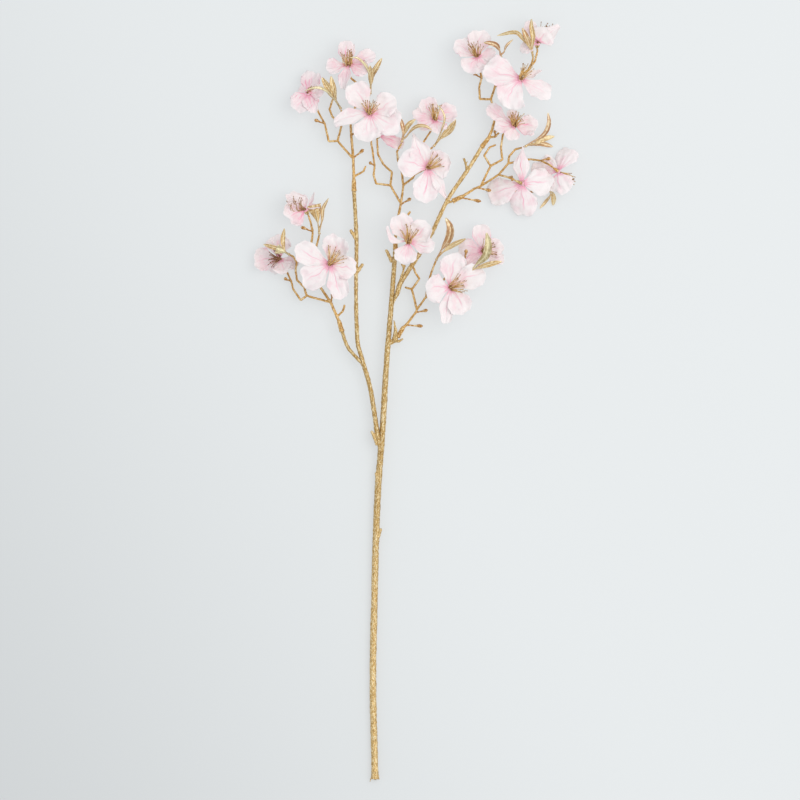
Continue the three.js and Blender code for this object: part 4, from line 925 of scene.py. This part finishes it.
def run_together(piece, grain, rounds=4):
    """Runs the closed shapes of a moulding together into one skin, with soft corners between them."""
    skin = piece.modifiers.new("skin", "REMESH")
    skin.mode = "VOXEL"
    skin.voxel_size = grain * MM
    soften = piece.modifiers.new("soften", "SMOOTH")
    soften.factor = 0.5
    soften.iterations = rounds
    ready = piece.evaluated_get(bpy.context.evaluated_depsgraph_get())
    mesh = bpy.data.meshes.new_from_object(ready)
    piece.modifiers.clear()
    piece.data = mesh
    for face in mesh.polygons:
        face.use_smooth = True


def lay_grain(piece, lines, relief):
    """Marks each point with its place along and round the nearest line, and raises the skin's relief.

    relief gives the height in millimetres from the place round and along the line.
    """
    samples = [(line, i) for line in lines for i in range(0, len(line.places), 2)]
    nearest = kdtree.KDTree(len(samples))
    for k, (line, i) in enumerate(samples):
        nearest.insert(line.places[i], k)
    nearest.balance()
    mesh = piece.data
    mesh.attributes.new("grain", "FLOAT_VECTOR", "POINT")
    mesh.attributes.new("tone", "FLOAT", "POINT")
    mesh.attributes.new("painted_shade_upward", "FLOAT", "POINT")
    places, tones, painted_shade_upward, moved = [], [], [], []
    for vertex in mesh.vertices:
        at = (vertex.co - FOOT) / MM
        _, k, _ = nearest.find(at)
        line, i = samples[k]
        off = at - line.places[i]
        normal = line.normals[i]
        binormal = line.ways[i].cross(normal)
        place = Vector((off.dot(normal), off.dot(binormal), line.reached[i] + off.dot(line.ways[i])))
        places.extend(place + Vector((0, 0, 37.0 * line.tone)))
        tones.append(line.tone + (line.end_tone - line.tone) * smooth(place.z, 0, line.length))
        # How far each point faces up; the gold paint lays painted shade where this is low.
        painted_shade_upward.append(max(vertex.normal.z, 0))
        raised = vertex.co + vertex.normal * (relief(place) * MM)
        moved.extend((raised.x, raised.y, max(raised.z, SKIN_FLOOR * MM)))
    mesh.attributes["grain"].data.foreach_set("vector", places)
    mesh.attributes["tone"].data.foreach_set("value", tones)
    mesh.attributes["painted_shade_upward"].data.foreach_set("value", painted_shade_upward)
    mesh.vertices.foreach_set("co", moved)
    mesh.update()


def wrap_relief(place):
    """The ribs of the wound paper tape, with lumps and long folds in it."""
    x, y, z = place
    wound = (z / WRAP_PITCH - math.atan2(y, x) / math.tau) % 1.0
    rib = 0.14 * bell(wound, 0.5, 0.11)
    folds = 0.26 * wave(x * 0.8, y * 0.8, z * 0.10)
    lumps = 0.30 * wave(x * 0.5, y * 0.5, z * 0.38 + 9)
    pits = 0.16 * wave(x * 1.1, y * 1.1, z * 0.9 + 31)
    return rib + folds + lumps + pits


def twig_relief(place):
    """The low bumps of a moulded twig."""
    return 0.20 * noise.noise(place * 0.45) + 0.10 * noise.noise(place * 1.3)


# ---- Stem and branches ----
def stem_radius(share, angle):
    """Even up to half its length, then slimmer, with a frayed flare at the cut foot."""
    flare = math.exp(-share * 110) * (1.0 + 0.35 * math.sin(5 * angle) + 0.3 * math.sin(11 * angle + 1))
    return STEM_RADIUS - (STEM_RADIUS - STEM_TOP_RADIUS) * smooth(share, 0.5, 1.05) + flare


def bud_radius(share, _):
    """A thin stalk that swells into a round bud at its end."""
    radius = 0.85 + (BUD_RADIUS + 0.25 - 0.85) * bell(share, 0.80, 0.17)
    if share > 0.86:
        radius *= math.sqrt(max(1 - ((share - 0.86) / 0.14) ** 2, 0.03))
    return radius


def add_shoots(bm, rows, radius, tone, sides=14, step=0.5):
    """Short shoots along their own lines, and those lines."""
    lines = [Line(row, tone) for row in rows]
    for line in lines:
        add_tube(bm, line, radius, sides, step)
    return lines


def wrapped_piece(name, node, line, radius_at, nubs, seat, extras=(), grain=0.42, tones=(1, 1)):
    """A wrapped stem or branch with its blunt nubs and the end of its wire, and its tone at both ends."""
    bm = bmesh.new()
    main = Line(line, *tones)
    add_tube(bm, main, radius_at, 28, 1.0)
    lines = [main, *add_shoots(bm, nubs, taper(1.8, 1.5, 0.08), 0.15)]
    for points, radius, tone in extras:
        lines += add_shoots(bm, [points], radius, tone, 16, 0.8)
    way, start = Vector(seat["along"]).normalized(), Vector(seat["at"])
    add_tube(bm, Line([start - way * 4, start + way * 9]), taper(WIRE_RADIUS, WIRE_RADIUS), 14, 1.0)
    piece = piece_of(name, bm)
    run_together(piece, grain)
    lay_grain(piece, lines, wrap_relief)
    show(piece, GOLD_WRAP, "wrapped_stem", node)


def feathered(top_radius, span):
    """A branch's radius: its foot is drawn out thin over a span, so that it lies close on the stem."""
    def radius_at(share, _):
        radius = BRANCH_FOOT_RADIUS + (top_radius - BRANCH_FOOT_RADIUS) * smooth(share, 0, 0.7)
        return radius * (0.2 + 0.8 * smooth(share, 0, span))
    return radius_at


def make_stems():
    wrapped_piece(
        "stem_wrap", "main_stem", STEM_LINE, stem_radius,
        [[[2.2, 240, 6.5], [5.9, 251.5, 9]], [[2.4, 300, 8], [0.9, 307.5, 9.5]],
         [[17, 518, 13.5], [10.8, 531, 14]]], SEATS["f"],
        extras=[
            ([[13, 436, 11], [18, 438.8, 11], [21.9, 441.6, 10.3]], taper(2.3, 2.2), 0.7),
            ([[20, 440, 12.5], [20.4, 450, 16], [19.0, 460, 17]], taper(2.9, 0.5), 0.7),
            ([[19, 439, 10.5], [24, 439.2, 10.6], [28, 441.4, 10.6]], taper(1.9, 0.9), 0.8),
            ([[-2.6, 5, 3.2], [-3.8, 1, 3], [-5.2, -3, 2.6]], taper(0.9, 0.45), 0.2),
            ([[2.6, 5, 3.4], [3.6, 1.5, 3.2], [4.4, -0.8, 3]], taper(1.0, 0.5), 0.2),
            ([[0.4, 4, 5.4], [0.8, 1, 5.8], [1.0, -1.2, 5.6]], taper(1.0, 0.5), 0.2),
        ], grain=0.5, tones=(0.3, 1.4))
    wrapped_piece(
        "left_branch_wrap", "left_branch",
        [[4.6, 325, 11.6], [3.9, 333, 11.9], [3.2, 340, 12], [2.0, 348, 11], *LEFT_BRANCH_LINE[2:]],
        feathered(BRANCH_TOP_RADIUS, 0.07),
        [[[2.4, 335, 12], [-3.6, 349.5, 12]], [[-18.6, 507, 12.5], [-12, 516.6, 14]],
         [[-18.8, 541, 13], [-25, 550.5, 14]]], SEATS["b"])
    wrapped_piece(
        "left_side_branch_wrap", "left_side_branch",
        [[-13.0, 413.5, 13], [-14.4, 416.8, 13.6], [-17, 420.6, 13], [-21.8, 426, 12], *SIDE_BRANCH_LINE[1:]],
        lambda share, _: SIDE_BRANCH_RADIUS * (0.2 + 0.8 * smooth(share, 0, 0.22)), [], SEATS["a"])
    wrapped_piece(
        "right_branch_wrap", "right_branch",
        [[18.4, 475, 14], [19.8, 481, 14.2], [22.4, 487.5, 13.4], *RIGHT_BRANCH_LINE[2:]],
        feathered(BRANCH_TOP_RADIUS, 0.08),
        [[[29.5, 513, 18], [26.7, 517, 18]]], SEATS["d"],
        extras=[
            ([[92, 610, 15], [90.4, 617, 15.5], [89.2, 622, 16]], taper(1.35, 0.8), 0.9),
            ([[23.5, 492, 12.5], [25.5, 501, 16], [28, 508, 17.5], [29.5, 514, 18]], taper(1.2, 1), 0.7),
            ([[71.5, 577, 14.6], [80, 580.1, 14.8]], taper(1.4, WIRE_RADIUS), 0.5),
            ([[90.6, 616, 15.5], [93, 619, 16.5]], taper(0.8, 0.4), 0.9),
            ([[90, 618, 15.7], [87.6, 622, 16.5]], taper(0.8, 0.4), 0.9),
        ], tones=(0.9, 0.6))
    bm = bmesh.new()
    foot = Vector(STEM_LINE[0])
    down = (foot - Vector(STEM_LINE[1])).normalized()
    add_tube(bm, Line([foot + down * 0.8, *STEM_LINE[1:]]), taper(WIRE_RADIUS, WIRE_RADIUS), 16, 6)
    show(piece_of("core_wire", bm), STEEL, "wire", "stem_wire")


# ---- Twig sets ----
def calyx_radius(share, angle):
    """A narrow tube, a swollen middle and a lip in five lobes."""
    lobes = 0.35 * math.cos(5 * angle) * smooth(share, 0.7, 1.0)
    lip = 0.3 * smooth(share, 0.85, 1)
    return TWIG_RADIUS + (CALYX_RADIUS - TWIG_RADIUS) * smooth(share, 0.0, 0.55) + lobes + lip


def behind(name, distance):
    """A point straight behind a blossom's middle."""
    return Vector(BLOSSOMS[name]["at"]) - Vector(BLOSSOMS[name]["face"]).normalized() * distance


def calyx_foot(name):
    """Where a blossom's calyx starts: straight behind it, unless the stalk comes from one side."""
    if "calyx" in BLOSSOM_LOOKS[name]:
        return Vector(BLOSSOM_LOOKS[name]["calyx"])
    return behind(name, CALYX_LENGTH)


def twig_points(points):
    """A twig's points, with a place for the blossom or the leaf sprig that it names last."""
    *points, last = points
    if isinstance(last, str):
        kind, name = last.split()
        last = calyx_foot(name) if kind == "blossom" else LEAF_SPRIGS[name]["at"]
    return kinked([*points, last])


def collar_radius(share, angle):
    """A cone with a rim at its foot and six flutes."""
    flutes = 0.12 * math.cos(6 * angle) * bell(share, 0.5, 0.3)
    rim = 0.2 * bell(share, 0.06, 0.06) - 0.2 * bell(share, 1, 0.1)
    return COLLAR_RADIUS * (1 - 0.22 * share) + rim + flutes


def make_twig_set(letter, twigs, seat):
    """A collar, the shoot that grows out of it, and the shoot's twigs, buds and calyxes, in one moulding."""
    way = Vector(seat["along"]).normalized()
    start = Vector(seat["at"])
    end = start + way * COLLAR_LENGTH
    bm = bmesh.new()
    shoot = kinked([end - way, *twigs["shoot"]])
    lines = [
        *add_shoots(bm, [[start, end]], collar_radius, 0.1, 24, 0.6),
        *add_shoots(bm, [shoot], taper(SHOOT_RADIUS, TWIG_RADIUS, 0.02), 0.25, 14, 0.8),
        *add_shoots(bm, [twig_points(row) for row in twigs["twigs"]],
                    taper(TWIG_RADIUS + 0.1, TWIG_TIP_RADIUS + 0.08, 0.03), 0.45, 14, 0.8),
        *add_shoots(bm, twigs["buds"], bud_radius, 1.0),
        *add_shoots(bm, twigs.get("sticks", []), taper(1.05, 1.25, 0.1), 0.4),
    ]
    for name in twigs["blossoms"]:
        look = BLOSSOM_LOOKS[name]
        lines += add_shoots(bm, [[calyx_foot(name), behind(name, 0.8)]],
                            lambda share, angle: max(calyx_radius(share, angle) * look["calyx_size"], 0.85),
                            look["calyx_tone"], 30, 0.4)
    piece = piece_of(f"twigs_{letter}", bm)
    run_together(piece, 0.34)
    lay_grain(piece, lines, twig_relief)
    show(piece, GOLD_TWIG, "moulded_twig", f"twig_set_{letter}")


# ---- Blossoms ----
def petal_point(petal, side, share):
    """Where a point of a petal lies: side is -1 to 1 across it, share 0 to 1 along it."""
    tip, width, seed, ruffle = petal["tip"], petal["width"], petal["seed"], petal["ruffle"]
    face = Vector(petal["facing"]).normalized()
    rise = tip.dot(face)
    outward = tip - face * rise
    reach = outward.length
    outward.normalize()

    # The outline: how far the point lies to the side, and how far the outer edge is drawn back there.
    outer = smooth(share, 0.4, 1.0)
    half = width / 2 * (0.16 + 0.84 * smooth(share, -0.08, petal["widest"]))
    half *= 1 - petal["point"] * smooth(share, 0.45, 1.0)
    half *= 1 + 0.09 * ruffle * wave(share * 3.7, 3 * math.copysign(1, side), seed)
    bend = petal["round"] * smooth(share, 0.25, 1.0)
    sideways, back = side, 0.0
    if bend > 0.02:
        sideways = math.sin(side * bend) / math.sin(bend)
        back = half * (1 - math.cos(side * bend)) / math.sin(bend)
    back -= width * 0.10 * ruffle * outer * wave(side * 2.4, seed, 7.7)
    back -= width * 0.035 * ruffle * outer * wave(side * 7.5, seed, 2.2)
    back += width * petal["notch"] * outer * bell(side, petal["notch_at"], 0.22)
    reached = max(share - back / reach, 0.0)

    # The rib: a curve from the hub over a knee to the tip.
    start = outward * PETAL_START
    knee = outward * reach * 0.6 + face * (rise * 0.15)
    on_rib = start * (1 - reached) ** 2 + knee * (2 * reached * (1 - reached)) + tip * reached**2
    way = ((knee - start) * (1 - reached) + (tip - knee) * reached).normalized()
    twist = math.radians(petal["twist"]) * smooth(share, 0.0, 0.5)
    across = Matrix.Rotation(twist, 3, way) @ outward.cross(face)
    sweep = petal["sweep"] * reach * share * (1 - share)

    # The height over the rib: a cup with ruffles, a crease down its middle and a fold on one side.
    edge = max(abs(side), share)
    height = petal["cup"] * width * sideways**2 * share
    height += 0.15 * width * ruffle * edge**3 * share * wave(side * 1.9, share * 2.4, seed + 3.3)
    height += 0.07 * width * ruffle * share * wave(side * 3.6, share * 3.0, seed + 8.1)
    height += 0.030 * width * ruffle * edge**2 * wave(side * 8.0, share * 7.0, seed + 5.9)
    height -= petal["crease"] * width * bell(side, 0.0, 0.13) * share * (1.15 - share)
    height += petal["curl"] * width * smooth(share, 0.6, 1.0) ** 2
    fold = petal["fold"]
    folded = side * math.copysign(1, fold)
    height += abs(fold) * width * max(folded - 0.1, 0) ** 1.5 * share
    shut = 1 - min(abs(fold) * 0.5 * max(folded, 0), 0.7)
    sidestep = across * (sideways * half * shut + sweep)
    return on_rib + sidestep + across.cross(way) * height + face * petal["layer"]


def add_petal(bm, layers, petal, middle, tone):
    """A petal as a thin closed sheet of cloth with a wavy edge."""
    uv, colour = layers
    before = len(bm.verts)
    made = bmesh.ops.create_grid(bm, x_segments=24, y_segments=28, size=0.5)["verts"]
    places = {v: (v.co.x * 2, v.co.y + 0.5) for v in made}
    faces = list({f for v in made for f in v.link_faces})
    for polygon in faces:
        for loop in polygon.loops:
            side, share = places[loop.vert]
            loop[uv].uv = (side / 2 + 0.5, share)
    for v in made:
        v.co = middle + petal_point(petal, *places[v])
        v.co.z = max(v.co.z, PETAL_FLOOR)
    thicken(bm, faces, PETAL_CLOTH_THICKNESS)
    for v in added_since(bm, before):
        v[colour] = tone
    closed = {f for v in added_since(bm, before) for f in v.link_faces}
    bmesh.ops.recalc_face_normals(bm, faces=list(closed))


def make_blossom(name, blossom, number):
    """A whorl of petals round a small hub, from one stamped piece of cloth."""
    face = Vector(blossom["face"]).normalized()
    middle = Vector(blossom["at"])
    look = BLOSSOM_LOOKS[name]
    chance = Random(100 + number)
    bm = bmesh.new()
    layers = bm.loops.layers.uv.new("petal"), bm.verts.layers.float_color.new("tone")
    rows = blossom["petals"]
    for k, (x, y, z, width, *own) in enumerate(rows):
        petal = {"tip": Vector((x, y, z)), "width": width, "seed": number * 11.3 + k * 3.7,
                 "layer": (k - (len(rows) - 1) / 2) * LAYER_STEP, "facing": face, "pink": look["pink"],
                 **PLAIN_PETAL, **(own[0] if own else {})}
        pink = petal["pink"] + chance.uniform(-0.06, 0.06)
        tone = (max(pink, 0), chance.uniform(0.2, 0.8), chance.random(), 1)
        add_petal(bm, layers, petal, middle, tone)
    before = len(bm.verts)
    hub = Line([middle - face * 0.5, middle + face * 0.5])
    add_tube(bm, hub, lambda share, _: HUB_RADIUS * (1 - 0.5 * share**2), 20, 0.3, uv=layers[0])
    for v in added_since(bm, before):
        v[layers[1]] = (1, 1, 0.5, 1)
        for loop in v.link_loops:
            loop[layers[0]].uv = (0.5, 0.15)
    show(piece_of(f"blossom_{name}", bm), PETAL_CLOTH, "petal_fabric", f"petals_{name}")


def mark_along(verts, uv, along):
    """Gives all of some points the same place along a filament."""
    for v in verts:
        for loop in v.link_loops:
            loop[uv].uv = (0.5, along)


def knob_radius(share, _):
    return FILAMENT_KNOB_RADIUS * math.sqrt(max(1 - (2 * share - 1) ** 2, 0.04))


def make_brush(name, blossom, number):
    """The stamens: a small base with fine bent filaments, each with a knob at its tip."""
    face = Vector(blossom["face"]).normalized()
    middle = Vector(blossom["at"])
    look = BLOSSOM_LOOKS[name]
    heading, fan, reach = look["brush"]
    chance = Random(500 + number)
    level = Vector((0, 0, 1)) if abs(face.z) < 0.9 else Vector((0, 1, 0))
    side = face.cross(level).normalized()
    ahead = math.radians(heading)
    leftward = Vector((-math.sin(ahead), math.cos(ahead), 0))
    bm = bmesh.new()
    uv = bm.loops.layers.uv.new("along")
    base = Line([middle + face * 0.6, middle + face * 2.4])
    add_tube(bm, base, lambda share, _: look["base"] * math.sqrt(max(1 - 0.75 * share**2, 0.05)), 18, 0.35,
             uv=uv)
    mark_along(bm.verts, uv, 0.02)
    spread, shift = look["foot"], Vector(look["shift"])
    root = middle + face * 1.2
    for _ in range(look["filaments"]):
        turn = chance.uniform(0, math.tau)
        out = (Matrix.Rotation(turn, 3, face) @ side) * spread * math.sqrt(chance.random())
        lean = 0.6 * out.dot(leftward) / spread + 0.4 * chance.uniform(-1, 1)
        angle = math.radians(heading + fan * lean)
        flat = reach * chance.uniform(0.55, 1.05)
        length = STAMEN_LENGTH * chance.uniform(0.95, 1.25)
        rise = math.sqrt(max(length**2 - flat**2, 9.0)) * math.copysign(1, face.z)
        foot = root + shift + out
        tip = foot + Vector((math.cos(angle) * flat, math.sin(angle) * flat, rise))
        knee = foot.lerp(tip, 0.5) + face * 1.6 + Vector([chance.uniform(-0.7, 0.7) for _ in range(3)])
        bent = [foot + face * 0.6] if (shift + out).length > 1.5 else []
        filament = Line([root + out * (1.2 / spread), *bent, knee, tip])
        add_tube(bm, filament, taper(FILAMENT_RADIUS, FILAMENT_TIP_RADIUS), 6, 1.5, uv=uv)
        way = (tip - knee).normalized()
        knob = add_tube(bm, Line([tip - way * 0.2, tip + way * 1.2]), knob_radius, 6, 0.3, uv=uv)
        mark_along(knob, uv, 0.98)
    piece = piece_of(f"brush_{name}", bm)
    dark = piece.data.attributes.new("dark", "FLOAT", "POINT")
    dark.data.foreach_set("value", [look["dark"]] * len(piece.data.vertices))
    show(piece, FILAMENTS, "stamens", f"stamens_{name}")


# ---- Leaves ----
def leaf_point(line, width, fold, blunt, side, share):
    """Where a point of a leaf's upper face lies: side is -1 to 1 across it, share 0 to 1 along it."""
    middle, way, _, _ = line.at(share)
    across = way.cross(Vector((0, 0, 1)))
    across = across.normalized() if across.length > 0.05 else Vector((1, 0, 0))
    lift = across.cross(way)
    if blunt:
        blade = smooth(share, 0.15, 0.98)
    else:
        blade = math.sin(math.pi * min(max((share - 0.2) / 0.82, 0), 1)) ** 0.75
    half = max(LEAF_STALK_RADIUS * (1.1 - 0.9 * share), width / 2 * blade)
    height = fold * half * abs(side) - 0.25 * blade * bell(side, 0, 0.14)
    return middle + across * side * half + lift * height


def make_leaf_sprig(name, sprig, number):
    """A sleeve with leaves that grow out of its end, run together."""
    foot = Vector(sprig["at"])
    way = (Vector(sprig["leaves"][0][0][0]) - foot).normalized()
    chance = Random(900 + number)
    bm = bmesh.new()
    sleeve = [foot + way * FIT_GAP, foot + way * LEAF_SLEEVE_LENGTH]
    lines = add_shoots(bm, [sleeve], taper(LEAF_SLEEVE_RADIUS, LEAF_STALK_RADIUS * 1.2), 0.5, 18, 0.5)
    start = foot + way * (LEAF_SLEEVE_LENGTH - 0.8)
    for points, width, tone, *extra in sprig["leaves"]:
        shape = extra[0] if extra else {}
        line = Line([start, *points], tone)
        lines.append(line)
        chance.random()  # One draw is passed over, so that the folds stay as they are.
        fold = shape.get("fold", chance.uniform(0.15, 0.5))
        made = bmesh.ops.create_grid(bm, x_segments=14, y_segments=40, size=0.5)["verts"]
        faces = list({f for v in made for f in v.link_faces})
        for v in made:
            v.co = leaf_point(line, width, fold, shape.get("blunt", False), v.co.x * 2, v.co.y + 0.5)
            v.co.z = max(v.co.z, LEAF_FLOOR)
        thicken(bm, faces, LEAF_THICKNESS)
        add_tube(bm, line, lambda share, _: LEAF_STALK_RADIUS * max(1.05 - 0.95 * share, 0.18), 10, 1.0)
    piece = piece_of(f"leaves_{name}", bm)
    run_together(piece, 0.3, rounds=2)
    lay_grain(piece, lines, lambda place: 0.05 * noise.noise(place * 0.9))
    show(piece, GOLD_LEAF, "moulded_leaf", f"leaf_sprig_{name}")


# ---- The sprig on its table ----
make_stems()
for letter, twigs in TWIG_SETS.items():
    make_twig_set(letter, twigs, SEATS[letter])
for number, (name, blossom) in enumerate(BLOSSOMS.items()):
    make_blossom(name, blossom, number)
    make_brush(name, blossom, number)
for number, (name, sprig) in enumerate(LEAF_SPRIGS.items()):
    make_leaf_sprig(name, sprig, number)

table_bm = bmesh.new()
bmesh.ops.create_grid(table_bm, x_segments=1, y_segments=1, size=TABLE_SIZE)
table_mesh = bpy.data.meshes.new("table")
table_bm.to_mesh(table_mesh)
table_bm.free()
table_mesh.materials.append(table_top())
table = bpy.data.objects.new("table", table_mesh)
scene.collection.objects.link(table)
